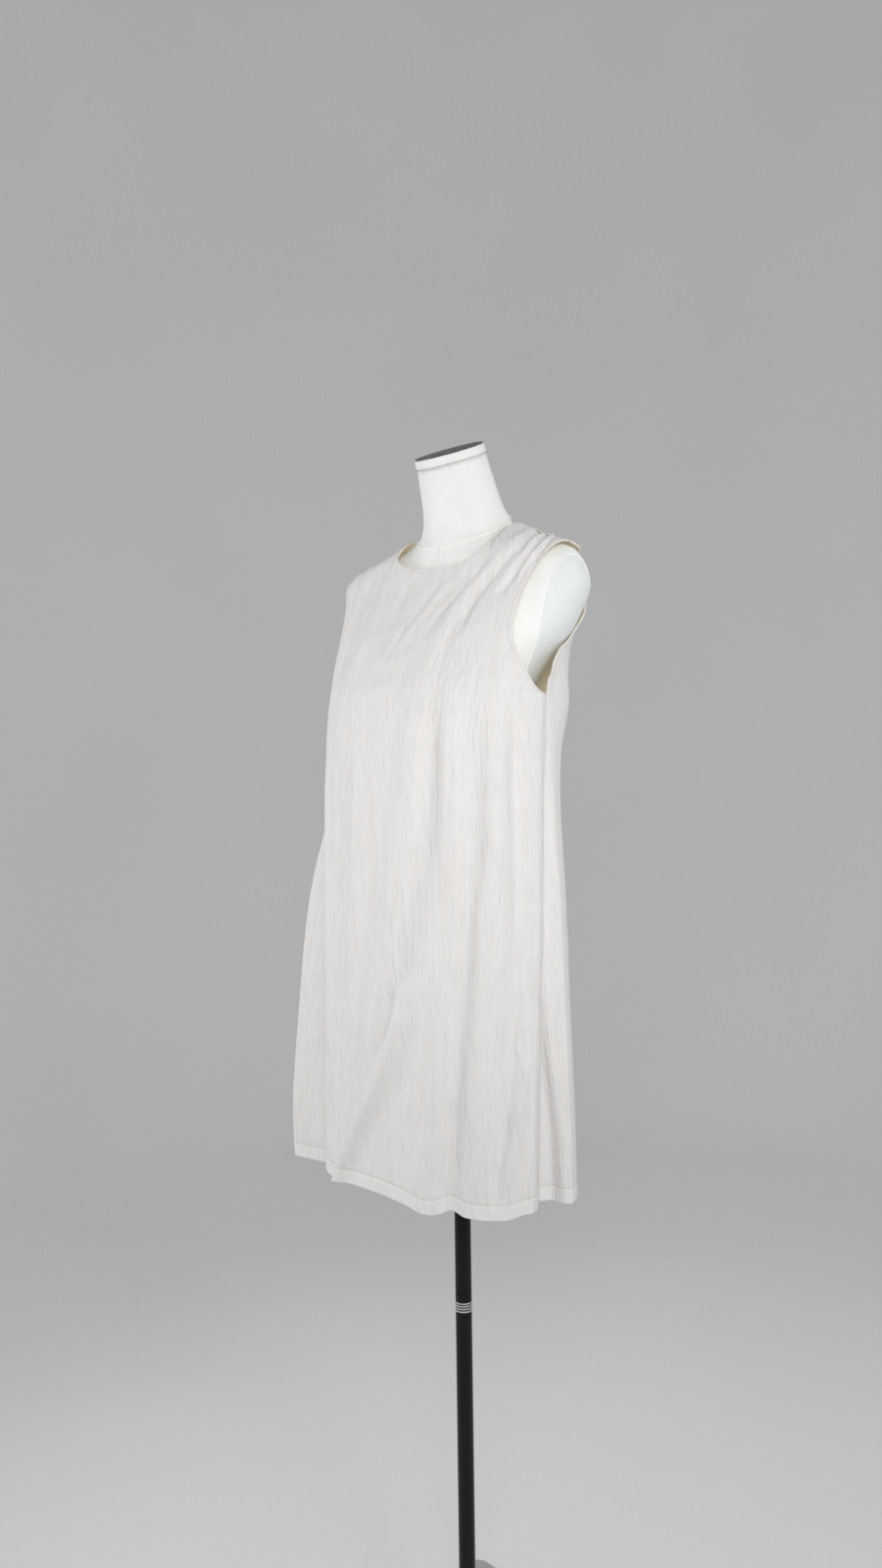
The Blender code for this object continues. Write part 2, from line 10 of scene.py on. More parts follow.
import bpy
import numpy as np
from mathutils import Matrix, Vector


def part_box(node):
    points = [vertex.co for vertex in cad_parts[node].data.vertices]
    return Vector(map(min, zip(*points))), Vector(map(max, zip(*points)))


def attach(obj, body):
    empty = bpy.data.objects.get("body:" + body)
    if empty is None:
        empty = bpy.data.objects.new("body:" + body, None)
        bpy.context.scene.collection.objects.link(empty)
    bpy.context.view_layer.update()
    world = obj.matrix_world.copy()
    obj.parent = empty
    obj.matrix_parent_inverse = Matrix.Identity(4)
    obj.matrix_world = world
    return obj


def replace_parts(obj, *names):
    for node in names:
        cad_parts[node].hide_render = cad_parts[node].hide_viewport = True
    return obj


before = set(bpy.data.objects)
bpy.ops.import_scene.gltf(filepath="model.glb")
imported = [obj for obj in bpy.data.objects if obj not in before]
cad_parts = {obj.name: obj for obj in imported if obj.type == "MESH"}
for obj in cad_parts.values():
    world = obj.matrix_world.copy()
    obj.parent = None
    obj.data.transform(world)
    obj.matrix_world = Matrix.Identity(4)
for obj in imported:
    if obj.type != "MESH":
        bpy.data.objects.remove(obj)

bl_info = {
    "name": "Pleated dress on a form",
    "version": (1, 0, 0),
    "blender": (4, 5, 0),
    "location": "3D Viewport > Sidebar > Dress",
    "description": "Cloth, seams, stitches and finishes of a pleated dress and its dress form",
    "category": "Object",
}

# ---------------------------------------------------------------- sizes of the frame
CLOTH = 0.0012              # thickness of the dress cloth
BINDING = 0.0009            # thickness of the tapes along the edges
SEAM = 0.0004               # between the panels at a side seam
SHOULDER_SEAM = 0.0006      # and at a shoulder seam
BACK_HEM = 0.636            # height of the back's hem
UNDERARM = 1.267            # height of the lowest point of the armholes
NECK_HALF = 0.083           # from the middle to the high point of the neckline
NECK_TOP = 1.516            # height of that point
FRONT_DROP = 0.066          # how far the neckline falls in front
BACK_DROP = 0.025           # and behind
NECK_ROUND = 2.70           # how boxy the neckline is, 2 being an ellipse
SHOULDER_LEFT = 0.169       # from the middle to the end of the wearer's left shoulder seam
SHOULDER_RIGHT = 0.180      # and of the right one
FLUTE_REACH = 0.016         # how far from its side seam the back panel has come out
SEAM_FADE = 0.25            # share of the armhole's height over which the fold fades
PLATE_TURN = math.radians(-16.6)    # of the base plate about the pole
RING_COUNT = 4              # bright rings at the pole's joint

# The dress in level sections. half is the half width of the front panel's curve, and
# middle its place along X. front, back and side are places along Y: side is where the
# section is widest. flare_left and flare_right say how much further the back panel stands
# out. tuck is how far inside the front curve the side seam lies. square and full say how
# boxy the front and the back are, 2 being an ellipse.
Cut = namedtuple(
    "Cut", "height half middle front back side flare_left flare_right tuck square full"
)
DRESS = (
    Cut(0.600, 0.1720, -0.0045, -0.1450, 0.088, -0.046, 0.015, 0.088, 0.028, 2.05, 2.05),
    Cut(0.700, 0.1710, -0.0045, -0.1470, 0.088, -0.045, 0.015, 0.097, 0.024, 2.05, 2.05),
    Cut(0.850, 0.1690, -0.0045, -0.1490, 0.086, -0.043, 0.012, 0.088, 0.017, 2.10, 2.10),
    Cut(1.000, 0.1670, -0.0045, -0.1500, 0.084, -0.040, 0.008, 0.072, 0.010, 2.15, 2.15),
    Cut(1.120, 0.1650, -0.0045, -0.1510, 0.084, -0.037, 0.002, 0.040, 0.006, 2.20, 2.20),
    Cut(1.200, 0.1655, -0.0045, -0.1500, 0.088, -0.034, -0.002, 0.012, 0.005, 2.20, 2.50),
    Cut(1.267, 0.1670, -0.0050, -0.1390, 0.096, -0.029, -0.003, -0.003, 0.004, 2.20, 3.30),
    Cut(1.305, 0.1700, -0.0050, -0.1225, 0.102, -0.022, -0.007, -0.007, 0.002, 2.20, 3.00),
    Cut(1.350, 0.1800, -0.0020, -0.0990, 0.108, -0.010, -0.008, -0.008, 0.000, 2.25, 2.40),
    Cut(1.400, 0.1980, 0.0000, -0.0680, 0.109, 0.004, 0.000, 0.000, 0.000, 2.30, 2.30),
    Cut(1.440, 0.2020, 0.0000, -0.0470, 0.104, 0.012, -0.008, -0.008, 0.000, 2.25, 2.30),
    Cut(1.468, 0.1780, 0.0000, -0.0380, 0.099, 0.018, 0.000, 0.000, 0.000, 2.10, 2.10),
    Cut(1.490, 0.1340, 0.0000, -0.0335, 0.097, 0.028, 0.000, 0.000, 0.000, 1.55, 1.60),
    Cut(1.516, 0.0830, 0.0000, -0.0310, 0.097, 0.0375, 0.000, 0.000, 0.000, 1.30, 1.40),
    Cut(1.528, 0.0600, 0.0000, -0.0305, 0.097, 0.040, 0.000, 0.000, 0.000, 1.30, 1.40),
)

# How wide each panel is at its armholes, by how far up it is between the underarm (0) and
# the shoulder seam (1): left and right are the front's half widths on the wearer's left and
# right, and back is a share of the section's own half width.
Edge = namedtuple("Edge", "rise left right back")
ARMHOLE = (
    Edge(0.00, 0.1670, 0.1670, 1.0000),
    Edge(0.10, 0.1590, 0.1625, 1.0000),
    Edge(0.20, 0.1500, 0.1575, 0.9998),
    Edge(0.30, 0.1400, 0.1520, 0.9980),
    Edge(0.40, 0.1350, 0.1500, 0.9680),
    Edge(0.50, 0.1350, 0.1510, 0.9180),
    Edge(0.60, 0.1370, 0.1540, 0.8600),
    Edge(0.70, 0.1410, 0.1590, 0.7960),
    Edge(0.85, 0.1530, 0.1700, 0.7900),
    Edge(1.00, 0.1690, 0.1800, 1.0000),
)

# Height of the front's hem, by its place across.
Hem = namedtuple("Hem", "across height")
HEM = (
    Hem(-0.180, 0.645),
    Hem(-0.110, 0.646),
    Hem(-0.075, 0.647),
    Hem(-0.030, 0.645),
    Hem(0.012, 0.638),
    Hem(0.045, 0.631),
    Hem(0.060, 0.632),
    Hem(0.076, 0.637),
    Hem(0.092, 0.630),
    Hem(0.120, 0.627),
    Hem(0.135, 0.627),
    Hem(0.155, 0.633),
    Hem(0.180, 0.634),
)

# The form in rings, from its flat underside to the top of the neck. lean is the slope
# of the ring in degrees, higher at the back.
Ring = namedtuple("Ring", "height half front back side square lean")
FORM = (
    Ring(0.7600, 0.124, -0.086, 0.060, 0.000, 2.2, 0),
    Ring(0.7660, 0.131, -0.092, 0.066, 0.000, 2.2, 0),
    Ring(0.8000, 0.140, -0.098, 0.070, 0.000, 2.2, 0),
    Ring(0.8800, 0.147, -0.102, 0.072, 0.000, 2.1, 0),
    Ring(0.9600, 0.141, -0.102, 0.069, -0.002, 2.1, 0),
    Ring(1.0300, 0.124, -0.098, 0.062, -0.006, 2.1, 0),
    Ring(1.0900, 0.111, -0.095, 0.058, -0.010, 2.1, 0),
    Ring(1.1600, 0.111, -0.110, 0.062, -0.014, 2.1, 0),
    Ring(1.2200, 0.114, -0.137, 0.072, -0.030, 2.1, 0),
    Ring(1.2700, 0.118, -0.132, 0.080, -0.032, 2.1, 0),
    Ring(1.3100, 0.137, -0.112, 0.089, -0.016, 2.1, 0),
    Ring(1.3500, 0.165, -0.090, 0.096, 0.003, 2.15, 0),
    Ring(1.3850, 0.182, -0.070, 0.099, 0.013, 2.2, 0),
    Ring(1.4150, 0.191, -0.0530, 0.0980, 0.016, 2.3, 0),
    Ring(1.4400, 0.186, -0.0400, 0.0960, 0.018, 2.4, 0),
    Ring(1.4600, 0.176, -0.0325, 0.0940, 0.021, 1.9, 1),
    Ring(1.4780, 0.146, -0.0275, 0.0910, 0.027, 1.55, 2),
    Ring(1.4920, 0.114, -0.0255, 0.0893, 0.033, 1.42, 3),
    Ring(1.5018, 0.091, -0.0245, 0.0880, 0.038, 1.48, 5),
    Ring(1.5105, 0.073, -0.0235, 0.0870, 0.039, 1.75, 7),
    Ring(1.5240, 0.0630, -0.0225, 0.0850, 0.036, 2.10, 12),
    Ring(1.5400, 0.0575, -0.0260, 0.0760, 0.027, 2.0, 17),
    Ring(1.5600, 0.0535, -0.0320, 0.0660, 0.018, 2.0, 21),
    Ring(1.5850, 0.0505, -0.0400, 0.0520, 0.006, 2.0, 25),
    Ring(1.6045, 0.0485, -0.0460, 0.0425, -0.002, 2.0, 26),
)

# ---------------------------------------------------------------- creases of the cloth
# A crease runs through the places in path, each a height and a distance along the level
# section from the panel's middle, + to the wearer's left. lift is above 0 on a ridge and
# below on a trough, and left and right are its widths on those sides of the wearer.
Crease = namedtuple("Crease", "lift left right path")
FRONT_CREASES = (
    # pulled from the wearer's left shoulder down across the chest
    Crease(0.0056, 0.010, 0.016, (
        (1.535, 0.125), (1.488, 0.113), (1.453, 0.096), (1.408, 0.066), (1.372, 0.050), (1.335, 0.046),
        (1.25, 0.048),
    )),
    Crease(-0.0040, 0.006, 0.008, (
        (1.535, 0.150), (1.473, 0.128), (1.446, 0.106), (1.414, 0.086), (1.382, 0.073), (1.330, 0.070),
    )),
    Crease(0.0034, 0.005, 0.005, ((1.530, 0.155), (1.460, 0.131), (1.430, 0.114), (1.385, 0.094))),
    Crease(-0.0043, 0.005, 0.006, ((1.530, 0.165), (1.464, 0.140), (1.434, 0.126), (1.385, 0.106))),
    Crease(0.0035, 0.004, 0.005, ((1.530, 0.175), (1.462, 0.148), (1.444, 0.139), (1.405, 0.122))),
    Crease(-0.0030, 0.004, 0.004, ((1.520, 0.178), (1.463, 0.154), (1.430, 0.142))),
    Crease(-0.0042, 0.009, 0.020, (
        (1.540, 0.115), (1.483, 0.098), (1.424, 0.060), (1.379, 0.037), (1.325, 0.012),
    )),
    # the finer ones between them
    Crease(-0.0016, 0.003, 0.003, ((1.510, 0.124), (1.455, 0.100), (1.420, 0.080), (1.385, 0.060))),
    Crease(0.0014, 0.003, 0.004, ((1.500, 0.108), (1.455, 0.086), (1.415, 0.062), (1.340, 0.028))),
    Crease(-0.0016, 0.003, 0.004, ((1.480, 0.092), (1.440, 0.070), (1.400, 0.044), (1.365, 0.022))),
    Crease(0.0013, 0.003, 0.003, ((1.465, 0.080), (1.425, 0.056), (1.390, 0.030), (1.355, 0.008))),
    Crease(-0.0014, 0.003, 0.003, ((1.455, 0.064), (1.420, 0.038), (1.385, 0.012), (1.345, -0.006))),
    # across the rest of the chest
    Crease(0.0029, 0.006, 0.008, ((1.440, 0.030), (1.399, 0.016), (1.372, 0.001), (1.330, -0.015))),
    Crease(-0.0026, 0.006, 0.006, ((1.440, 0.012), (1.384, -0.009), (1.350, -0.022), (1.310, -0.028))),
    Crease(-0.0035, 0.010, 0.008, ((1.470, -0.026), (1.425, -0.042), (1.396, -0.047), (1.320, -0.046))),
    Crease(0.0046, 0.012, 0.013, ((1.480, -0.080), (1.425, -0.082), (1.360, -0.084), (1.290, -0.082))),
    Crease(-0.0039, 0.009, 0.010, ((1.475, -0.108), (1.430, -0.124), (1.380, -0.126), (1.290, -0.120))),
    # long soft folds down the front
    Crease(0.0138, 0.015, 0.026, (
        (1.330, 0.046), (1.260, 0.046), (1.180, 0.040), (1.082, 0.024), (1.006, 0.010), (0.911, -0.010),
        (0.820, -0.032), (0.730, -0.052),
    )),
    Crease(0.0080, 0.018, 0.011, (
        (1.330, 0.072), (1.179, 0.083), (1.012, 0.081), (0.860, 0.070), (0.740, 0.062), (0.650, 0.058),
    )),
    Crease(0.0068, 0.020, 0.014, (
        (1.320, 0.130), (1.198, 0.139), (1.100, 0.138), (0.962, 0.120), (0.815, 0.106), (0.718, 0.094),
        (0.640, 0.088),
    )),
    Crease(0.0110, 0.016, 0.008, (
        (0.925, 0.028), (0.900, 0.020), (0.851, 0.007), (0.814, -0.007), (0.777, -0.026),
        (0.723, -0.059), (0.677, -0.088), (0.570, -0.150),
    )),
    Crease(-0.0022, 0.012, 0.012, ((1.240, 0.066), (1.080, 0.058), (0.994, 0.043), (0.900, 0.024))),
    Crease(0.0095, 0.010, 0.028, ((1.000, 0.080), (0.860, 0.069), (0.740, 0.060), (0.560, 0.052))),
    Crease(-0.0030, 0.012, 0.012, (
        (1.220, 0.118), (1.080, 0.118), (0.940, 0.106), (0.845, 0.098), (0.740, 0.086), (0.640, 0.082),
    )),
    Crease(-0.0022, 0.013, 0.012, ((0.780, 0.088), (0.720, 0.085), (0.660, 0.082), (0.560, 0.080))),
    Crease(-0.0068, 0.010, 0.014, (
        (1.310, 0.160), (1.149, 0.169), (1.030, 0.168), (0.913, 0.163), (0.795, 0.153), (0.690, 0.142),
    )),
    Crease(0.0052, 0.008, 0.008, ((0.830, 0.178), (0.740, 0.160), (0.650, 0.146))),
    Crease(-0.0055, 0.009, 0.006, ((0.760, 0.152), (0.700, 0.138), (0.630, 0.130))),
    Crease(0.0035, 0.010, 0.010, ((1.250, -0.050), (1.050, -0.062), (0.840, -0.078))),
    Crease(-0.0036, 0.011, 0.010, ((1.180, -0.088), (0.950, -0.100), (0.760, -0.108))),
    Crease(0.0041, 0.013, 0.010, ((1.260, -0.132), (1.020, -0.138), (0.760, -0.138))),
    Crease(-0.0050, 0.009, 0.008, ((0.820, -0.150), (0.740, -0.140), (0.690, -0.128))),
)
BACK_CREASES = (
    # long soft folds
    Crease(0.0080, 0.017, 0.020, ((1.440, 0.030), (1.250, 0.036), (1.000, 0.050), (0.640, 0.066))),
    Crease(-0.0061, 0.014, 0.014, ((1.400, 0.070), (1.150, 0.086), (0.900, 0.100), (0.600, 0.118))),
    Crease(0.0075, 0.018, 0.018, ((1.380, 0.118), (1.100, 0.138), (0.640, 0.160))),
    Crease(-0.0075, 0.018, 0.016, ((1.430, -0.012), (1.180, -0.016), (0.900, -0.030), (0.600, -0.036))),
    Crease(0.0083, 0.020, 0.017, ((1.440, -0.050), (1.200, -0.062), (0.900, -0.090), (0.640, -0.108))),
    Crease(-0.0080, 0.018, 0.018, ((1.380, -0.100), (1.100, -0.124), (0.620, -0.170))),
    Crease(0.0080, 0.019, 0.019, ((1.300, -0.145), (1.050, -0.172), (0.640, -0.222))),
    Crease(-0.0058, 0.008, 0.010, ((0.950, 0.190), (0.800, 0.186), (0.600, 0.176))),
    Crease(0.0039, 0.012, 0.012, ((1.360, -0.020), (1.280, 0.004), (1.180, 0.016), (1.050, 0.018))),
    # beside the side seam on the wearer's left
    Crease(-0.0100, 0.003, 0.004, ((1.120, 0.250), (0.900, 0.249), (0.720, 0.248), (0.540, 0.248))),
    Crease(0.0050, 0.003, 0.004, ((1.100, 0.242), (0.850, 0.243), (0.660, 0.244), (0.540, 0.245))),
)
CREASES = {"front": FRONT_CREASES, "back": BACK_CREASES}


# ---------------------------------------------------------------- curves and tables
def smooth_through(places, values, at):
    """Smooth curve through the values, which never overshoots them.

    Each stretch is a cubic whose end slopes are the harmonic means of the slopes of
    the stretches on either side, or nothing where these differ in sign.
    """
    places = np.asarray(places, float)
    values = np.asarray(values, float)
    at = np.clip(np.asarray(at, float), places[0], places[-1])
    step = np.diff(places)
    slope = np.diff(values) / step
    ends = np.concatenate([slope[:1], np.zeros(len(values) - 2), slope[-1:]])
    product = slope[:-1] * slope[1:]
    total = slope[:-1] + slope[1:]
    same = product > 0
    ends[1:-1][same] = 2 * product[same] / total[same]
    k = np.clip(np.searchsorted(places, at, side="right") - 1, 0, len(step) - 1)
    t = (at - places[k]) / step[k]
    start = values[k] * (1 + 2 * t) * (1 - t) ** 2 + step[k] * ends[k] * t * (1 - t) ** 2
    end = values[k + 1] * t * t * (3 - 2 * t) + step[k] * ends[k + 1] * t * t * (t - 1)
    return start + end


def read(table, name, at):
    """Value of a table's named column at a place along its first column."""
    return smooth_through([row[0] for row in table], [getattr(row, name) for row in table], at)


def soft_step(t):
    """0 up to 0, 1 from 1 on, and a smooth rise between."""
    t = np.clip(t, 0, 1)
    return t * t * (3 - 2 * t)


def bell(distance, width):
    """1 at no distance, falling to nothing over about two widths."""
    return np.exp(-((distance / width) ** 2))


def unit(vectors):
    """Vectors brought to length 1."""
    return vectors / np.maximum(np.linalg.norm(vectors, axis=-1, keepdims=True), 1e-12)


def turns_round(count):
    """Evenly spaced turns, once round from 0."""
    return np.linspace(0, 2 * math.pi, count, endpoint=False)


def along_rows(at, places, values):
    """Values at given distances along each row, for all rows at once.

    Each row's distances are moved on by more than a row is long, so that one straight-line
    interpolation serves them all.
    """
    apart = 10.0 * np.arange(len(places))[:, None]
    found = np.interp((at + apart).ravel(), (places + apart).ravel(), values.ravel())
    return found.reshape(at.shape)


def run_along(points, axis):
    """Length from the start of each line of points to each of its points."""
    steps = np.linalg.norm(np.diff(points, axis=axis), axis=-1)
    run = np.cumsum(steps, axis=axis)
    return np.concatenate([np.zeros_like(np.take(run, [0], axis=axis)), run], axis=axis)


# ---------------------------------------------------------------- the cloth's surface
DENSE = 801                 # points on a row before it is divided into columns
COLUMNS = 304               # steps across a panel, a whole number for each frame column
FRAME_COLUMNS = 38
SHOULDER_COLUMNS = 12       # of them, along each shoulder seam
NECK_COLUMN = COLUMNS * SHOULDER_COLUMNS // FRAME_COLUMNS   # where the neckline starts
SECTION_STEPS = 16          # straight steps that measure the way round a level section
# The close rows at the hem and the top: how far they are up from the hem's edge and down
# from the upper edge, which is about as far above the underarm as the span says.
HEM_ROWS = (
    0, 0.0006, 0.003, 0.007, 0.011, 0.0145, 0.0162, 0.0172, 0.018, 0.0188, 0.0198, 0.0215, 0.025, 0.030,
)
TOP_ROWS = (0.018, 0.0135, 0.0105, 0.0085, 0.007, 0.006, 0.005, 0.004, 0.002, 0.0005, 0)
TOP_SPAN = 0.2
SKIRT_ROWS = 62             # between the hem's rows and the underarm
ARMHOLE_ROWS = 56           # between the underarm and the top rows
WIDEST = 1.44               # height of the widest level section, at the shoulders
EASE = 0.03                 # most that a row's corners under the neck are eased, to either side
EASE_RATE = 0.10            # of the easing, by how far down from the top a row is
FRONT_FOLD = 0.010          # least width of the front's turned-in part


def half_width(panel, x, z):
    """Half width of a panel's level section, on the side that x lies."""
    half = read(DRESS, "half", z)
    if panel == "front":
        return half
    left = read(DRESS, "flare_left", z)
    right = read(DRESS, "flare_right", z)
    return half + np.where(x > 0, left, right)


def place_along_y(panel, x, z):
    """Y of the cloth at x and z: a rounded oblong from the side line to the panel's middle."""
    part = np.clip(np.abs(x) / half_width(panel, x, z), 0, 1)
    square = read(DRESS, "square" if panel == "front" else "full", z)
    side = read(DRESS, "side", z)
    return side + (read(DRESS, panel, z) - side) * (1 - part ** square) ** (1 / square)


def section_run(panel, x, z):
    """Signed length round the level section from the panel's middle to x.

    The section is cut at evenly spaced turns, x being the half width times a turn's sine,
    and the straight steps between the cuts are added up.
    """
    half = half_width(panel, x, z)[..., None]
    turn = np.arcsin(np.clip(x[..., None] / half, -1, 1))
    cuts = half * np.sin(turn * np.linspace(0, 1, SECTION_STEPS + 1))
    y = place_along_y(panel, cuts, z[..., None])
    return np.sign(x) * np.hypot(np.diff(cuts), np.diff(y)).sum(axis=-1)


def ridge_height(x):
    """Height of the shoulder line: where the level section is just as wide as x."""
    heights = np.linspace(WIDEST, DRESS[-1].height, 177)
    widths = read(DRESS, "half", heights)
    return np.interp(-np.abs(x), -widths, heights)


def top_height(panel, x):
    """Upper edge of a panel: the neckline, and the shoulder line beyond it."""
    drop = FRONT_DROP if panel == "front" else BACK_DROP
    part = np.clip(np.abs(x) / NECK_HALF, 0, 1)
    neckline = NECK_TOP - drop * (1 - part ** NECK_ROUND) ** (1 / NECK_ROUND)
    return np.where(np.abs(x) < NECK_HALF, neckline, ridge_height(x))


def eased_top(panel, x, reach):
    """Upper edge averaged over a reach to either side, its middle counting most."""
    shifts = np.linspace(-1, 1, 17)[1:-1]
    weights = (1 - np.abs(shifts)) / (1 - np.abs(shifts)).sum()
    pairs = zip(shifts, weights)
    return sum(weight * top_height(panel, x + reach * shift) for shift, weight in pairs)


def hem_height(panel, x):
    """Lower edge of a panel: level behind, and rising to the wearer's right in front."""
    if panel == "back":
        return np.full_like(x, BACK_HEM)
    return read(HEM, "height", x)


def fold_in_at_sides(panel, x, y, z, up):
    """Carry the two ends of each row in to the side seams, and less and less above them.

    The front panel turns in from a crisp fold, evenly all the way to the seam. The back
    panel comes straight out of the seam and so stands as a flute behind it.
    """
    share = 1 - soft_step(up / SEAM_FADE)
    run = run_along(np.stack([x, y], axis=2), 1)
    folded = x.copy()
    for side, distance in ((1, run), (-1, run[:, -1:] - run)):
        depth = read(DRESS, "tuck", z)
        if panel == "back":
            depth = depth + read(DRESS, "flare_left" if side > 0 else "flare_right", z)
            inward = 1 - soft_step(distance / FLUTE_REACH)
        else:
            inward = (1 - np.clip(distance / (FRONT_FOLD + 1.2 * depth), 0, 1)) ** 1.2
        folded -= side * depth * inward * share
    return folded


def edge_width(panel, side, up):
    """Half width of a panel's row at its armhole, on the wearer's left (1) or right (-1).

    Behind, it depends on the height of the row's end, which depends on it in turn, so it
    is found by repeated steps.
    """
    if panel == "front":
        return read(ARMHOLE, "left" if side > 0 else "right", up)
    width = np.full_like(up, SHOULDER_LEFT if side > 0 else SHOULDER_RIGHT)
    for _ in range(12):
        z = UNDERARM + (ridge_height(width) - UNDERARM) * up
        width = read(ARMHOLE, "back", up) * half_width("back", side * width, z)
    return width


def dense_rows(panel, ups):
    """Closely spaced points along a panel's rows, and each one's place before it folds in.

    A row's points sit at the sine of evenly spaced turns, so they crowd at the sides. Below
    the underarm (up 0) a row is a share of the way down to the hem (-1), and above it a
    share of the way up to the neckline and the shoulder line (1), whose corners are eased
    away below it.
    """
    up = ups[:, None]
    across = np.sin(np.linspace(math.pi / 2, -math.pi / 2, DENSE))[None, :]
    above = np.clip(up, 0, 1)
    left, right = edge_width(panel, 1, above), edge_width(panel, -1, above)
    high_x = across * np.where(across > 0, left, right)
    reach = np.minimum(EASE_RATE * (1 - above), EASE) * (1 - across ** 2)
    high_z = UNDERARM + (eased_top(panel, high_x, reach) - UNDERARM) * up
    hem_x = across * half_width(panel, across, np.full_like(across, BACK_HEM))
    low_z = UNDERARM + (hem_height(panel, hem_x) - UNDERARM) * -up
    low_x = across * half_width(panel, across, low_z)
    x = np.where(up > 0, high_x, low_x)
    z = np.where(up > 0, high_z, low_z)
    y = place_along_y(panel, x, z)
    y = y + (-1 if panel == "front" else 1) * (SHOULDER_SEAM / 2) * np.clip(up, 0, 1)
    folded = fold_in_at_sides(panel, x, y, z, up) + read(DRESS, "middle", z)
    return np.stack([folded, y, z], axis=2), x


def column_shares(panel, ups, lengths):
    """Where the columns cut the rows, as shares of their length.

    They are even at the hem. At the top, each shoulder seam and the neckline take the same
    number of columns as in the frame, so that a column ends at each corner of the neck.
    Where the armholes shorten the rows, the inner columns run on and the outer ones crowd,
    by a power of how far out they are.
    """
    even = np.linspace(0, 1, COLUMNS + 1)
    points, x = dense_rows(panel, np.array([1.0]))
    run = run_along(points, 1)[0]
    corners = np.interp([-NECK_HALF, NECK_HALF], -x[0], run) / run[-1]
    marks = [0, SHOULDER_COLUMNS, FRAME_COLUMNS - SHOULDER_COLUMNS, FRAME_COLUMNS]
    shaped = np.interp(even * FRAME_COLUMNS, marks, [0, *corners, 1])
    shares = even + (shaped - even) * soft_step((ups[:, None] + 0.35) / 1.35)
    excess = np.where(ups > 0, np.interp(0, ups, lengths) / lengths - 1, 0)
    excess = np.clip(excess * (1 - soft_step(ups / 0.3)), 0, None)[:, None]
    place = 1 - 2 * shares
    power = np.minimum(4, 0.8 / np.maximum(excess, 0.01))
    return 0.5 - 0.5 * place * (1 + excess * (1 - np.abs(place) ** power))


def row_places():
    """Where the rows run, from -1 at the hem by 0 at the underarm to 1 at the top.

    They lie close together over the hem's turn-up, just above the underarm, where the
    armholes sweep in, and under the neckline.
    """
    skirt = UNDERARM - BACK_HEM
    hem = -1 + np.array(HEM_ROWS) / skirt
    top = 1 - np.array(TOP_ROWS) / TOP_SPAN
    return np.concatenate([
        hem,
        np.linspace(hem[-1], 0, SKIRT_ROWS + 1)[1:],
        top[0] * np.linspace(0, 1, ARMHOLE_ROWS + 2)[1:-1] ** 1.7,
        top,
    ])


Surface = namedtuple("Surface", "grid girth across along from_top from_side")


def panel_surface(panel):
    """The panel's smooth outer face, rows by columns, and where its points lie.

    girth is round the unfolded level section from the middle, and across the same along
    the folded cloth. The rest are up from the hem, down from the top and in from the side.
    """
    ups = row_places()
    points, x = dense_rows(panel, ups)
    run = run_along(points, 1)
    cuts = column_shares(panel, ups, run[:, -1]) * (run[:, -1:] - SEAM) + SEAM / 2
    grid = np.stack([along_rows(cuts, run, points[:, :, k]) for k in range(3)], axis=2)
    girth = section_run(panel, along_rows(cuts, run, x), grid[:, :, 2])
    level = run_along(points[:, :, :2], 1)
    across = along_rows(np.zeros((len(ups), 1)), -x, level) - along_rows(cuts, run, level)
    along = run_along(grid, 0)
    from_side = np.minimum(cuts, run[:, -1:] - cuts)
    return Surface(grid, girth, across, along, along[-1:] - along, from_side)


def outward(grid, panel):
    """Unit normals of a grid of points, away from the wearer."""
    normal = unit(np.cross(np.gradient(grid, axis=0), np.gradient(grid, axis=1)))
    return normal if panel == "front" else -normal


# ---------------------------------------------------------------- relief of the cloth
CREASE_FADE = 0.22          # share of a crease's height over which each end dies away
SEEDS = {"front": 11, "back": 23}   # of the fine pleats
RIDGES = 90                 # fine pleats across a panel and beyond
RIDGE_GAPS = (0.0042, 0.0115)       # least and most from one to the next
HEM_DEPTH = 0.0175          # of the hem's turn-up
EDGE_DEPTH = 0.0055         # from the neckline and armholes to their stitching
EDGE_FADE = 0.0012          # beyond that, over which the turned cloth thins out
COLOUR_FADE = 0.0010        # and over which its lighter colour ends
SEAM_WIDTH = 0.010          # how far from a side seam the creases are held down
NECK_CALM = 0.045           # and how far from the neckline
CORNER_PLACE = -0.222       # of the corner where the front's hem meets its right-hand fold
CORNER_WIDTH = 0.022
CORNER_HEIGHT = 0.050
CORNER_SHIFT = (-0.004, -0.006, 0.004)

# The tucks on each shoulder seam: place across, width, depth and length down the front.
Tuck = namedtuple("Tuck", "place width depth length")
TUCKS = (
    Tuck(0.101, 0.0050, 0.0022, 0.115),
    Tuck(0.124, 0.0060, 0.0032, 0.150),
    Tuck(0.147, 0.0055, 0.0028, 0.105),
)


def crease_lift(panel, surface):
    """Height of all the creases over a panel.

    A crease is a bell across its own line, with a width for each side of it, and dies away
    towards its two ends.
    """
    z = surface.grid[:, :, 2]
    lift = np.zeros_like(z)
    for crease in CREASES[panel]:
        heights, places = zip(*crease.path[::-1])
        away = surface.girth - smooth_through(heights, places, z)
        fade = CREASE_FADE * (heights[-1] - heights[0])
        ends = soft_step((heights[-1] - z) / fade) * soft_step((z - heights[0]) / fade)
        lift += crease.lift * ends * bell(away, np.where(away > 0, crease.left, crease.right))
    return lift


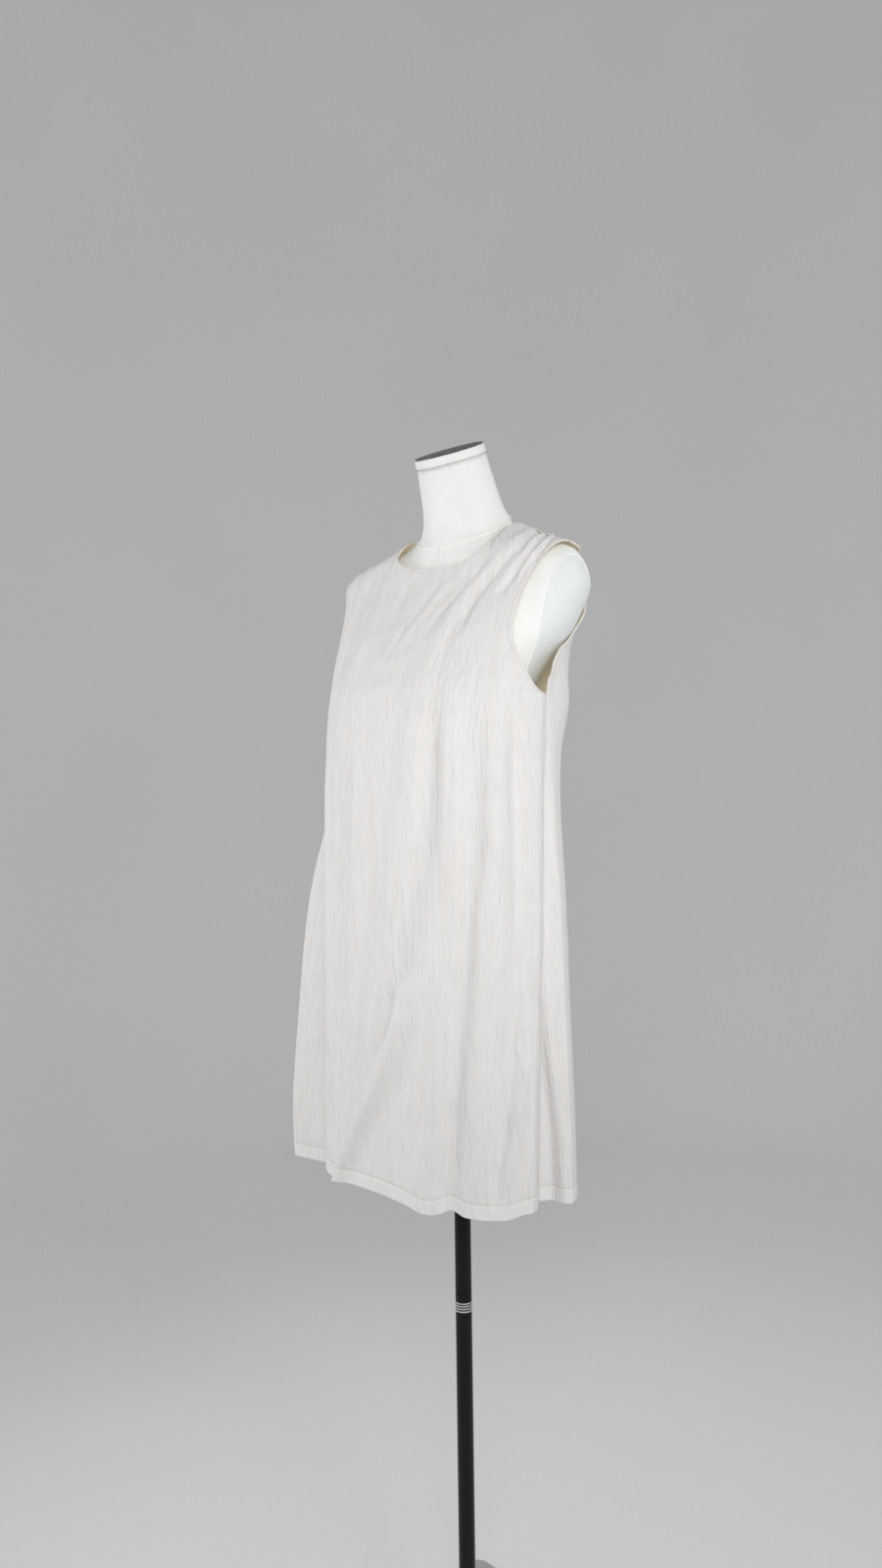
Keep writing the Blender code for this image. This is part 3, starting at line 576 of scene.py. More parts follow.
def crinkle_lift(panel, surface, height):
    """Fine pleats: narrow ridges up the grain, unevenly spaced, that wander and come and go.

    Each ridge is a bell across a line that sways as a sine of the height. Its own height
    swells and dies away along it as another sine does.
    """
    draw = np.random.default_rng(SEEDS[panel])
    across, along = surface.across, surface.grid[:, :, 2] - BACK_HEM
    steps = draw.uniform(*RIDGE_GAPS, RIDGES)
    places = np.cumsum(steps) - steps.sum() / 2
    lift = np.zeros_like(across)
    for place, step in zip(places, steps):
        sway = draw.uniform(0.0004, 0.0022)
        sway = sway * np.sin(along / draw.uniform(0.03, 0.09) + draw.uniform(0, 6.3))
        swell = 0.55 + 0.75 * np.sin(along / draw.uniform(0.035, 0.12) + draw.uniform(0, 6.3))
        ridge = bell(across - place - sway, 0.26 * step)
        lift += draw.uniform(0.35, 1.0) * np.clip(swell, 0, 1.2) * ridge
    calm = 0.45 + 0.55 * soft_step((along - 0.06) / 0.35)
    return height * calm * (lift - 0.35)


def distance_from_neck(surface):
    """Distance of each point from the nearest of some points spaced along the neckline."""
    neckline = surface.grid[-1, NECK_COLUMN:-NECK_COLUMN:4]
    return np.linalg.norm(surface.grid[:, :, None] - neckline, axis=3).min(axis=2)


def edge_distance(surface):
    """Distance of each point from the neckline or an armhole, whichever is nearer."""
    column = np.arange(COLUMNS + 1)
    at_neck = (column >= NECK_COLUMN) & (column <= COLUMNS - NECK_COLUMN)
    from_neck = np.where(at_neck, surface.from_top, 1.0)
    at_armhole = row_places() >= 0
    from_armhole = np.where(at_armhole[:, None], surface.from_side, 1.0)
    return np.minimum(from_neck, from_armhole)


def stitched_lift(distance, depth, along, width, sink, pucker):
    """Relief of a turned edge: raised out to its stitching, sunk along it, and puckered.

    The pucker is a pair of sines along the edge, strongest at the stitching.
    """
    raised = 0.4 * sink * (1 - soft_step((distance - depth) / 0.0015 + 0.5))
    sunk = sink * bell(distance - depth, width)
    waves = np.sin(along / 0.0019 + 2 * np.sin(along / 0.011)) + 0.6 * np.sin(along / 0.0031)
    return raised - sunk + pucker * waves * bell(distance - depth, 0.006)


def panel_relief(panel, surface, crinkle):
    """The panel's outer face with its creases, pleats, tucks and turned edges.

    All are heights along the outward normal, but for the tucks, which sink straight down
    from the shoulder line, and the front's one drawn-out corner.
    """
    grid, girth, along = surface.grid, surface.girth, surface.along
    distance = edge_distance(surface)
    edge_run = np.where(surface.from_side < surface.from_top, along, girth)
    seam = bell(surface.from_side, SEAM_WIDTH) * (row_places() < 0)[:, None]
    calm = soft_step(distance_from_neck(surface) / NECK_CALM)
    lift = crease_lift(panel, surface) * (1 - 0.7 * seam) * calm
    lift += crinkle_lift(panel, surface, crinkle) * (1 - 0.8 * seam) * soft_step(distance / 0.008)
    lift += stitched_lift(along, HEM_DEPTH, girth, width=0.0012, sink=0.00060, pucker=0.00025)
    lift += stitched_lift(distance, EDGE_DEPTH, edge_run, width=0.0009, sink=0.00022, pucker=0.00010)
    folded = grid + lift[:, :, None] * outward(grid, panel)
    ridge = ridge_height(np.clip(np.abs(grid[:, :, 0]), NECK_HALF, SHOULDER_RIGHT))
    for tuck in TUCKS:
        reach = tuck.length if panel == "front" else 0.3 * tuck.length
        near = bell(np.abs(grid[:, :, 0]) - tuck.place, tuck.width)
        folded[:, :, 2] -= tuck.depth * near * (1 - soft_step((ridge - grid[:, :, 2]) / reach))
    if panel == "front":
        corner = bell(girth - CORNER_PLACE, CORNER_WIDTH) * (1 - soft_step(along / CORNER_HEIGHT))
        folded += corner[:, :, None] * np.array(CORNER_SHIFT)
    return folded


# ---------------------------------------------------------------- meshes
RIM_STEPS = 3               # faces round the half-round edge of a sheet


def outline(rows, columns):
    """Row and column numbers round the border of a grid, from its first corner."""
    down, across = np.arange(rows), np.arange(columns)
    i = np.concatenate([0 * across, down[1:], 0 * across[1:] + rows - 1, down[-2:0:-1]])
    j = np.concatenate([across, 0 * down[1:] + columns - 1, across[-2::-1], 0 * down[-2:0:-1]])
    return i, j


def grid_quads(index):
    """Faces between the neighbours of a grid of vertex numbers."""
    corners = (index[:-1, :-1], index[1:, :-1], index[1:, 1:], index[:-1, 1:])
    return np.stack(corners, axis=-1).reshape(-1, 4)


def numbers(rows, columns, rows_meet=False, columns_meet=False):
    """Vertex numbers of a grid, with its first row or column again at the end if they meet."""
    index = np.arange(rows * columns).reshape(rows, columns)
    return np.pad(index, ((0, int(rows_meet)), (0, int(columns_meet))), mode="wrap")


def closed_rings(rows, around):
    """Faces between rings, outwards where they rise, with a flat face at both ends."""
    faces = grid_quads(numbers(rows, around, columns_meet=True)).tolist()
    faces.append(list(range(around)))
    faces.append(list(range(rows * around - 1, (rows - 1) * around - 1, -1)))
    return [face[::-1] for face in faces]


def shell(outer, normal, thickness):
    """Closed wall of an open sheet: outer face, inner face and a half-round rim.

    A rim point is the middle of the wall at the border, moved by half the thickness along
    a turn from the outward normal, by the way out of the sheet, to the inward one.
    Gives back the points, the faces, and for each point its place on the grid and how far
    it is through the wall.
    """
    rows, columns = outer.shape[:2]
    index = numbers(rows, columns)
    inner = outer - normal * thickness[:, :, None]
    i, j = outline(rows, columns)
    inside = outer[np.clip(i, 1, rows - 2), np.clip(j, 1, columns - 2)]
    edge_normal = normal[i, j]
    out = outer[i, j] - inside
    out = unit(out - (out * edge_normal).sum(axis=1, keepdims=True) * edge_normal)
    half = thickness[i, j][:, None] / 2
    middle = outer[i, j] - edge_normal * half
    turns = np.linspace(0, math.pi, RIM_STEPS + 1)[1:-1]
    rims = [middle + half * (edge_normal * math.cos(t) + out * math.sin(t)) for t in turns]
    points = np.concatenate([outer.reshape(-1, 3), inner.reshape(-1, 3), *rims])
    count = rows * columns
    border = index[i, j]
    loops = [border] + [2 * count + k * len(i) + np.arange(len(i)) for k in range(RIM_STEPS - 1)]
    loops.append(border + count)
    rim = grid_quads(np.stack([np.append(loop, loop[0]) for loop in loops]))[:, ::-1]
    quads = np.concatenate([grid_quads(index), grid_quads(index)[:, ::-1] + count, rim])
    source = np.concatenate([index.ravel(), index.ravel(), *[border] * (RIM_STEPS - 1)])
    depths = [np.full(len(i), t / math.pi) for t in turns]
    depth = np.concatenate([np.zeros(count), np.ones(count), *depths])
    return points, quads, source, depth


def add_object(name, points, faces, finish, uv=None, values=None):
    """Object of a mesh, with its map along the grain and its per-point values."""
    mesh = bpy.data.meshes.new(name)
    mesh.from_pydata(points.tolist(), [], faces if isinstance(faces, list) else faces.tolist())
    if uv is not None:
        corner = np.empty(len(mesh.loops), np.int32)
        mesh.loops.foreach_get("vertex_index", corner)
        mesh.uv_layers.new(name="grain").data.foreach_set("uv", uv[corner].ravel())
    for label, value in (values or {}).items():
        layer = mesh.attributes.new(label, "FLOAT", "POINT")
        layer.data.foreach_set("value", value.astype(np.float32))
    mesh.shade_smooth()
    mesh.materials.append(finish)
    made = bpy.data.objects.new(name, mesh)
    bpy.context.scene.collection.objects.link(made)
    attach(made, "root")
    return made


# ---------------------------------------------------------------- the dress
TURNED_EXTRA = 0.0004       # thickness that the turned edges of the neck and armholes add
STITCH_SIDES = 6
# A stitch's rings: the place along it in half lengths, and the share of its radius there.
STITCH_RINGS = ((-1.0, 0.35), (-0.72, 0.85), (0.0, 1.0), (0.72, 0.85), (1.0, 0.35))
STITCH_HALF = 0.40          # half of a stitch's length, as a share of the stitches' distance
HEM_THREAD = 0.00024        # radius of the hem's thread
EDGE_THREAD = 0.0002        # and of the thread along the neck and armholes
EDGE_PITCH = 0.8            # distance of the stitches there, as a share of the hem's
TAPE_GAP = 0.0002           # between the tapes and the cloth
TAPE_ROWS = 7               # rows of the panel's grid under the neck tape
TAPE_COLUMNS = 7            # columns of it under the armhole tapes

Cloth = namedtuple("Cloth", "surface grid normal thickness")


def cloth(panel):
    """A panel's creased outer face, its smooth normals and its thickness at each point."""
    sizes = bpy.context.scene.dress_sizes
    surface = panel_surface(panel)
    grid = panel_relief(panel, surface, sizes.crinkle)
    doubled = 1 - soft_step((surface.along - HEM_DEPTH) / EDGE_FADE)
    turned = 1 - soft_step((edge_distance(surface) - EDGE_DEPTH) / EDGE_FADE)
    thickness = sizes.cloth + (sizes.hem - sizes.cloth) * doubled + TURNED_EXTRA * turned
    return Cloth(surface, grid, outward(surface.grid, panel), thickness)


def facing_out(quads, panel):
    """Faces of a panel's grid, turned round at the back, where the grid is seen from behind."""
    return quads if panel == "front" else quads[:, ::-1]


def add_panel(panel, finish):
    """One panel of the dress as a closed thin wall."""
    made = cloth(panel)
    surface = made.surface
    points, quads, source, depth = shell(made.grid, made.normal, made.thickness)
    uv = np.stack([surface.across, surface.along], axis=2).reshape(-1, 2)[source]
    doubled = 1 - soft_step((surface.along - HEM_DEPTH) / COLOUR_FADE + 0.5)
    # inside is how far through the wall a point lies; the inner face that it marks is given painted light
    # in the cloth's finish.
    values = {"doubled": doubled.ravel()[source], "inside": depth}
    return add_object(f"{panel}_panel", points, facing_out(quads, panel), finish, uv, values)


def points_at(lines, distance, level):
    """Point on each line where its rising distance reaches a level."""
    at = np.clip((distance < level).sum(axis=1), 1, distance.shape[1] - 1)
    line = np.arange(len(lines))
    start, end = distance[line, at - 1], distance[line, at]
    share = ((level - start) / (end - start))[:, None]
    return lines[line, at - 1] * (1 - share) + lines[line, at] * share


def read_along(places, run, values):
    """Values at places along a run, by straight lines between its points, for each column."""
    return np.stack([np.interp(places, run, column) for column in values.T], axis=1)


def stitches_along(path, normal, pitch, radius):
    """Stitches evenly spaced along a path: short threads that dip into the cloth at each end.

    Each is a row of rings round its own line. A ring's place is a share of half the
    stitch's length, and it sinks by the square of that share.
    """
    run = run_along(path[None], 1)[0]
    count = int(run[-1] / pitch)
    centre_run = (np.arange(count) + 0.5) * run[-1] / count
    centre = read_along(centre_run, run, path)
    along = unit(read_along(centre_run + 0.001, run, path) - read_along(centre_run - 0.001, run, path))
    up = unit(read_along(centre_run, run, normal))
    side = unit(np.cross(along, up))
    share, wide = (np.array(column) for column in zip(*STITCH_RINGS))
    turn = turns_round(STITCH_SIDES)
    line = STITCH_HALF * pitch * share[None, :, None] * along[:, None]
    line = line + radius * (0.55 - 1.1 * share ** 2)[None, :, None] * up[:, None]
    ring = np.cos(turn)[:, None] * side[:, None] + np.sin(turn)[:, None] * up[:, None]
    thread = radius * wide[None, :, None, None] * ring[:, None]
    points = centre[:, None, None] + line[:, :, None] + thread
    rings = len(STITCH_RINGS)
    faces = grid_quads(numbers(rings, STITCH_SIDES, columns_meet=True))
    first = np.array([[0, 1, 2, 3], [0, 3, 4, 5]])
    last = first[:, ::-1] + (rings - 1) * STITCH_SIDES
    faces = np.concatenate([faces, first, last])
    step = rings * STITCH_SIDES
    quads = (faces[None] + step * np.arange(count)[:, None, None]).reshape(-1, 4)
    return points.reshape(-1, 3), quads


def joined(parts):
    """Points and faces of several meshes as those of one."""
    starts = np.cumsum([0] + [len(points) for points, _ in parts[:-1]])
    points = np.concatenate([points for points, _ in parts])
    return points, np.concatenate([quads + start for (_, quads), start in zip(parts, starts)])


def edge_stitches(both, distance, depth, pitch, radius):
    """Stitches where the distance along each line reaches a depth.

    both holds the lines' points and, beside them, the cloth's normals there.
    """
    found = points_at(both, distance, depth)
    return stitches_along(found[:, :3], found[:, 3:], pitch, radius)


def panel_stitches(panel):
    """Stitching of a panel's hem, half neckline and two armhole edges."""
    made = cloth(panel)
    surface = made.surface
    both = np.concatenate([made.grid, made.normal], axis=2)
    pitch = bpy.context.scene.dress_sizes.stitch
    parts = [edge_stitches(both.transpose(1, 0, 2), surface.along.T, HEM_DEPTH, pitch, HEM_THREAD)]
    neck = slice(NECK_COLUMN, COLUMNS - NECK_COLUMN + 1)
    above = row_places() >= 0
    edges = [(both[::-1, neck].transpose(1, 0, 2), surface.from_top[::-1, neck].T)]
    for columns in (slice(0, COLUMNS // 4), slice(-1, -COLUMNS // 4, -1)):
        edges.append((both[above][:, columns], surface.from_side[above][:, columns]))
    for lines, distance in edges:
        parts.append(edge_stitches(lines, distance, EDGE_DEPTH, EDGE_PITCH * pitch, EDGE_THREAD))
    return joined(parts)


def tape_part(made, rows, columns, panel):
    """Wall of tape under part of a panel's grid, just clear of the cloth's inner face."""
    clear = made.thickness + TAPE_GAP
    face = (made.grid - clear[:, :, None] * made.normal)[rows, columns]
    normal = made.normal[rows, columns]
    girth, along = made.surface.girth[rows, columns], made.surface.along[rows, columns]
    points, quads, source, _ = shell(face, normal, np.full(face.shape[:2], BINDING))
    uv = np.stack([girth, along], axis=2).reshape(-1, 2)[source]
    return (points, facing_out(quads, panel)), uv


def add_tape(name, places, finish, stands_for):
    """Tape in as many lengths as places, each a panel with its rows and columns."""
    lengths = [tape_part(cloth(panel), rows, columns, panel) for panel, rows, columns in places]
    parts, maps = zip(*lengths)
    points, quads = joined(parts)
    made = add_object(name, points, quads, finish, np.concatenate(maps))
    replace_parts(made, stands_for)


# ---------------------------------------------------------------- the form
FORM_AROUND = 208           # points round a ring
FORM_MIDDLE = (0.0, 0.015, 0.0)     # of the level rings, for rough outward directions
PLATE_MIDDLE = (0.010, 1.340)       # of the flat where an arm would be, along Y and Z
PLATE_HALF = (0.0455, 0.112)        # half of its width and height
NECK_SEAM = 1.4983          # height of the seam round the neck's base, at the form's middle
NECK_SEAM_SLOPE = 0.6       # rise of that seam towards the back
MIDDLE_SEAM = -0.0075       # place of the middle seams along X
SEAM_RADIUS = 0.0011
NECK_SEAM_WIDTH = 1.7       # of the neck's seam, in widths of the others
SEAM_POINTS = 160           # round a seam's loop
CAP_AROUND = 96             # points round the cap's rings
CAP_PITCH = 0.0032          # from one of the cap's stitches to the next
CAP_THREAD = 0.00045        # radius of their thread

# The cap's two pieces from below, and the line of its stitches: how far along the neck's
# axis, and the share of the neck's top ring there.
CAP_LINE = (0.0026, 1.0225)
BAND = (
    (0.0003, 0.97), (0.0005, 1.004), (0.0012, 1.016), (0.0030, 1.022), (0.0070, 1.018),
    (0.0110, 1.014), (0.0132, 1.008), (0.0144, 0.996), (0.0148, 0.975),
)
DISC = (
    (0.0149, 0.950), (0.0149, 0.985), (0.0152, 0.992), (0.0160, 0.992), (0.0165, 0.984),
    (0.0169, 0.940), (0.0172, 0.60), (0.0173, 0.05),
)


def ring_at(height):
    """The sizes of the form's ring at each height, by name."""
    return {name: read(FORM, name, height) for name in Ring._fields[1:]}


def form_points(turn, height):
    """Points of the form at turns round it, counter-clockwise from the wearer's left.

    A ring is a rounded oblong: cosine and sine of the turn raised to 2 over how boxy it is.
    """
    ring = ring_at(height)
    power = 2 / ring["square"]
    cos, sin = np.cos(turn), np.sin(turn)
    x = ring["half"] * np.sign(cos) * np.abs(cos) ** power
    reach = np.where(sin > 0, ring["back"] - ring["side"], ring["side"] - ring["front"])
    y = ring["side"] + reach * np.sign(sin) * np.abs(sin) ** power
    lean = np.tan(np.radians(ring["lean"]))
    z = height + lean * (y - (ring["front"] + ring["back"]) / 2)
    return np.stack(np.broadcast_arrays(x, y, z), axis=-1)


def add_form(finish):
    """The covered form, in close rings, with a flat underside and top."""
    low, high = FORM[0].height, FORM[-1].height
    edge = low + 0.010
    heights = np.concatenate([np.linspace(low, edge, 6)[:-1], np.linspace(edge, high, 178)])
    points = form_points(turns_round(FORM_AROUND), heights[:, None])
    under = points[0]
    middle = under.mean(axis=0)
    flat = [middle + (under - middle) * share for share in (0.05, 0.55, 0.97)]
    points = np.concatenate([np.array(flat), points])
    faces = closed_rings(len(points), FORM_AROUND)
    return add_object("form_cover", points.reshape(-1, 3), faces, finish)


def tube(path, out, radius, meets, around=8):
    """Round tube along a path that lies on a surface, out being the surface's directions.

    Its ends are closed, unless they meet.
    """
    if meets:
        along = np.roll(path, -1, axis=0) - np.roll(path, 1, axis=0)
    else:
        along = np.gradient(path, axis=0)
    up = unit(out - (out * unit(along)).sum(axis=1, keepdims=True) * unit(along))
    side = np.cross(unit(along), up)
    turn = turns_round(around)[None, :, None]
    points = path[:, None] + radius * (np.cos(turn) * up[:, None] + np.sin(turn) * side[:, None])
    quads = grid_quads(numbers(len(path), around, rows_meet=meets, columns_meet=True))
    if not meets:
        first = np.array([[0, 1, 2, 3], [0, 3, 4, 7], [4, 5, 6, 7]])
        quads = np.concatenate([quads, first, first[:, ::-1] + (len(path) - 1) * around])
    return points.reshape(-1, 3), quads[:, ::-1]


def away_from_axis(path):
    """Rough outward directions on the form: level, and away from its middle line."""
    return unit((path - np.array(FORM_MIDDLE)) * np.array([1.0, 1.0, 0.0]))


def neck_seam():
    """Loop of the form's surface where a sloping plane cuts it, found by repeated steps."""
    turn = turns_round(SEAM_POINTS)
    height = np.full_like(turn, NECK_SEAM)
    for _ in range(30):
        points = form_points(turn, height)
        height += 0.5 * (NECK_SEAM + NECK_SEAM_SLOPE * points[:, 1] - points[:, 2])
    return form_points(turn, height)


def middle_seam(side, top):
    """Seam down the form's front (-1) or back (+1) at one place along X, below a height."""
    height = np.linspace(FORM[0].height + 0.012, top, 150)
    half, square = read(FORM, "half", height), read(FORM, "square", height)
    turn = np.arccos((abs(MIDDLE_SEAM) / half) ** (square / 2))
    return form_points(side * (math.pi - turn), height)


def plate_seam(side):
    """Oval seam round the flat of one arm: an ellipse seen from the side, laid on the form."""
    turn = turns_round(SEAM_POINTS) * side
    y = PLATE_MIDDLE[0] + PLATE_HALF[0] * np.cos(turn)
    z = PLATE_MIDDLE[1] + PLATE_HALF[1] * np.sin(turn)
    ring = ring_at(z)
    reach = np.where(y > ring["side"], ring["back"] - ring["side"], ring["side"] - ring["front"])
    part = np.clip(np.abs(y - ring["side"]) / reach, 0, 1)
    x = side * ring["half"] * (1 - part ** ring["square"]) ** (1 / ring["square"])
    return np.stack([x, y, z], axis=1)


def add_form_seams(finish):
    """Raised seams of the form's cover, as fine cords half sunk in it."""
    neck = neck_seam()
    parts = [tube(neck, away_from_axis(neck), NECK_SEAM_WIDTH * SEAM_RADIUS, True)]
    for side, top in ((-1, neck[:, 2].min()), (1, neck[:, 2].max())):
        line = middle_seam(side, top)
        parts.append(tube(line, away_from_axis(line), SEAM_RADIUS, False))
    for side in (1, -1):
        oval = plate_seam(side)
        parts.append(tube(oval, away_from_axis(oval), SEAM_RADIUS, True))
    return add_object("form_seams", *joined(parts), finish)


def cap_rings(profile, around):
    """The form's top ring carried along its own axis, profile being (distance, share) pairs."""
    ring = form_points(turns_round(around), np.array(FORM[-1].height))
    middle = ring.mean(axis=0)
    lean = math.radians(FORM[-1].lean)
    axis = np.array([0, -math.sin(lean), math.cos(lean)])
    along, share = (np.array(column)[:, None, None] for column in zip(*profile))
    return middle + (ring - middle) * share + axis * along


def add_cap(name, profile, finish):
    """A piece of the neck's cap: rings closed by a flat face at both ends."""
    points = cap_rings(profile, CAP_AROUND)
    faces = closed_rings(len(profile), CAP_AROUND)
    return add_object(name, points.reshape(-1, 3), faces, finish)


def cap_stitches():
    """Stitches round the band of the cap, standing out from its middle."""
    ring = cap_rings((CAP_LINE,), 240)[0]
    loop = np.concatenate([ring, ring[:1]])
    return stitches_along(loop, unit(loop - loop.mean(axis=0)), CAP_PITCH, CAP_THREAD)


# ---------------------------------------------------------------- finishes
def add_node(tree, kind, inputs=(), **settings):
    """A shader node with its settings, and with inputs given values or linked to sockets."""
    made = tree.nodes.new("ShaderNode" + kind)
    for name, value in settings.items():
        setattr(made, name, value)
    for place, value in dict(inputs).items():
        if isinstance(value, bpy.types.NodeSocket):
            tree.links.new(value, made.inputs[place])
        else:
            made.inputs[place].default_value = value
    return made


def object_place(tree):
    """The place of a point of the surface, as the object counts it."""
    return add_node(tree, "TexCoord").outputs["Object"]


def grain_place(tree):
    """The place of a point of the cloth: across its grain and along it."""
    return add_node(tree, "UVMap", uv_map="grain").outputs[0]


def maths(tree, operation, first, second=0.0, third=0.0):
    """Result of a Math node."""
    return add_node(tree, "Math", {0: first, 1: second, 2: third}, operation=operation).outputs[0]


def vector_maths(tree, operation, first, second):
    """Result of a Vector Math node."""
    return add_node(tree, "VectorMath", {0: first, 1: second}, operation=operation).outputs[0]


def mixed(tree, share, first, second, blend="MIX"):
    """Colour between two colours."""
    inputs = {0: share, 6: first, 7: second}
    return add_node(tree, "Mix", inputs, data_type="RGBA", blend_type=blend).outputs[2]


def noise(tree, place, scale, detail):
    """A noise's value, scale being how many of its waves fit in a metre along each axis."""
    wide = vector_maths(tree, "MULTIPLY", place, scale)
    return add_node(tree, "TexNoise", {"Vector": wide, "Scale": 1.0, "Detail": detail}).outputs["Fac"]


def stretched(tree, value, low, high, new_low=0.0, new_high=1.0):
    """A value brought from one range to another, and kept in it."""
    inputs = {0: value, 1: low, 2: high, 3: new_low, 4: new_high}
    return add_node(tree, "MapRange", inputs, clamp=True).outputs[0]


def new_group(name, inputs, outputs):
    """An empty shader node group, with its entry and its exit. Inputs are (name, kind, value)."""
    group = bpy.data.node_groups.new(name, "ShaderNodeTree")
    for label, kind, value in inputs:
        socket = group.interface.new_socket(label, in_out="INPUT", socket_type="NodeSocket" + kind)
        if value is not None:
            socket.default_value = value
    for label, kind in outputs:
        group.interface.new_socket(label, in_out="OUTPUT", socket_type="NodeSocket" + kind)
    return group, group.nodes.new("NodeGroupInput").outputs, group.nodes.new("NodeGroupOutput").inputs


def herringbone():
    """Group: height of a herringbone weave, whose ribs zigzag from band to band.

    The ribs are a sine of the place along the grain, shifted by a zigzag of the place
    across it.
    """
    inputs = [("Place", "Vector", None), ("Rib", "Float", 0.0025), ("Band", "Float", 0.006)]
    tree, given, result = new_group("herringbone", inputs, [("Height", "Float")])
    sides = add_node(tree, "SeparateXYZ", {0: given["Place"]}).outputs
    zigzag = maths(tree, "PINGPONG", maths(tree, "ADD", sides[0], 10.0), given["Band"])
    rise = maths(tree, "ADD", sides[1], zigzag)
    turns = maths(tree, "MULTIPLY", maths(tree, "DIVIDE", rise, given["Rib"]), 2 * math.pi)
    wave = maths(tree, "SINE", turns)
    tree.links.new(maths(tree, "MULTIPLY_ADD", wave, 0.5, 0.5), result["Height"])
    return tree


def crinkle():
    """Group: height of fine crinkles, a noise drawn out along the grain, with smaller creases."""
    inputs = [("Place", "Vector", None), ("Width", "Float", 0.006), ("Length", "Float", 0.06)]
    tree, given, result = new_group("crinkle", inputs, [("Height", "Float"), ("Mask", "Float")])
    across = maths(tree, "DIVIDE", 1.0, given["Width"])
    along = maths(tree, "DIVIDE", 1.0, given["Length"])
    scale = add_node(tree, "CombineXYZ", {0: across, 1: along}).outputs[0]
    broad = noise(tree, given["Place"], scale, 1.0)
    ridged = maths(tree, "ABSOLUTE", maths(tree, "SUBTRACT", broad, 0.5))
    ridge = stretched(tree, ridged, 0.0, 0.22, 1.0, 0.0)
    finer = vector_maths(tree, "MULTIPLY", scale, (2.6, 3.4, 1.0))
    small = noise(tree, given["Place"], finer, 2.0)
    tree.links.new(maths(tree, "MULTIPLY_ADD", small, 0.55, ridge), result["Height"])
    tree.links.new(ridge, result["Mask"])
    return tree


def mottle():
    """Group: a colour made darker and lighter in soft patches."""
    inputs = [
        ("Place", "Vector", None), ("Scale", "Vector", (20.0, 20.0, 20.0)),
        ("Colour", "Color", (1, 1, 1, 1)), ("Other", "Color", (1, 1, 1, 1)), ("Amount", "Float", 1.0),
    ]
    tree, given, result = new_group("mottle", inputs, [("Colour", "Color"), ("Mask", "Float")])
    patch = stretched(tree, noise(tree, given["Place"], given["Scale"], 3.0), 0.36, 0.64)
    share = maths(tree, "MULTIPLY", patch, given["Amount"])
    tree.links.new(mixed(tree, share, given["Colour"], given["Other"]), result["Colour"])
    tree.links.new(patch, result["Mask"])
    return tree


MAKERS = {"herringbone": herringbone, "crinkle": crinkle, "mottle": mottle}
SHARED = {}


def add_group(tree, name, **inputs):
    """A shared group placed in a material with its own values, and made the first time."""
    if name not in SHARED:
        SHARED[name] = MAKERS[name]()
    return add_node(tree, "Group", inputs, node_tree=SHARED[name]).outputs


def mottled(tree, place, scale, colour, factor):
    """A colour in soft patches of itself and of a shade of it."""
    return add_group(tree, "mottle", Place=place, Scale=scale, Colour=colour,
                     Other=shade_of(colour, factor), Amount=1.0)


def new_finish(name, **sockets):
    """A material of one Principled shader with plain values on its sockets."""
    finish = bpy.data.materials.new(name)
    finish.use_nodes = True
    tree = finish.node_tree
    shader = tree.nodes["Principled BSDF"]
    for label, value in sockets.items():
        shader.inputs[label.replace("_", " ")].default_value = value
    return finish, tree, shader.inputs


def raise_bump(tree, shader, layers):
    """Chained Bump nodes, each with a height and how many metres it stands for."""
    normal = None
    for height, distance in layers:
        inputs = {"Height": height, "Distance": distance, "Strength": 1.0}
        if normal is not None:
            inputs["Normal"] = normal
        normal = add_node(tree, "Bump", inputs).outputs[0]
    tree.links.new(normal, shader["Normal"])


def shade_of(colour, factor):
    """A colour made darker or lighter."""
    return tuple(min(1.0, part * factor) for part in colour[:3]) + (1.0,)


def cloth_finish():
    """The dress's crinkled herringbone cloth: whiter outside, and doubled at its edges.

    Its colour is painted darker in the weave's grooves and between the crinkles, as painted shade. Its
    inner face is painted a warm tan and made to glow a little. This is painted light for the light that
    comes through the thin cloth and bounces inside the dress.
    """
    colours = bpy.context.scene.dress_colours
    finish, tree, shader = new_finish(
        "crinkled_cloth", Sheen_Weight=0.12, Sheen_Roughness=0.5, Emission_Strength=0.09,
    )
    place = grain_place(tree)
    inside = add_node(tree, "Attribute", attribute_name="inside").outputs["Fac"]
    doubled = add_node(tree, "Attribute", attribute_name="doubled").outputs["Fac"]
    weave = add_group(tree, "herringbone", Place=place, Rib=0.0027, Band=0.0055)["Height"]
    fine = add_group(tree, "crinkle", Place=place, Width=0.0055, Length=0.045)
    streaks = add_group(tree, "mottle", Place=place, Scale=(110.0, 4.0, 1.0),
                        Colour=colours.cloth, Other=colours.streak, Amount=0.9)
    lightened = mixed(tree, maths(tree, "MULTIPLY", doubled, 0.6), streaks["Colour"], colours.doubled)
    # Painted shade: the cloth's colour is darkened in the grooves of the weave and, a little, between the
    # ridges of the crinkles.
    painted_groove_shade = maths(tree, "MULTIPLY_ADD", weave, 0.14, 0.90)
    painted_groove_shade = maths(tree, "MULTIPLY", painted_groove_shade, maths(tree, "MULTIPLY_ADD", fine["Mask"], 0.05, 0.955))
    shade = add_node(tree, "CombineColor", {0: painted_groove_shade, 1: painted_groove_shade, 2: painted_groove_shade}).outputs[0]
    outer = mixed(tree, 1.0, lightened, shade, "MULTIPLY")
    # Painted light: the inner face takes the warm inside colour and glows with it, for the light that
    # comes through the thin cloth and bounces inside the dress.
    through = stretched(tree, inside, 0.55, 0.95)
    tree.links.new(mixed(tree, through, outer, colours.inside), shader["Base Color"])
    tree.links.new(mixed(tree, through, (0, 0, 0, 1), colours.inside), shader["Emission Color"])
    tree.links.new(maths(tree, "MULTIPLY_ADD", weave, 0.08, 0.80), shader["Roughness"])
    raise_bump(tree, shader, [(fine["Height"], 0.00060), (weave, 0.00016)])
    return finish


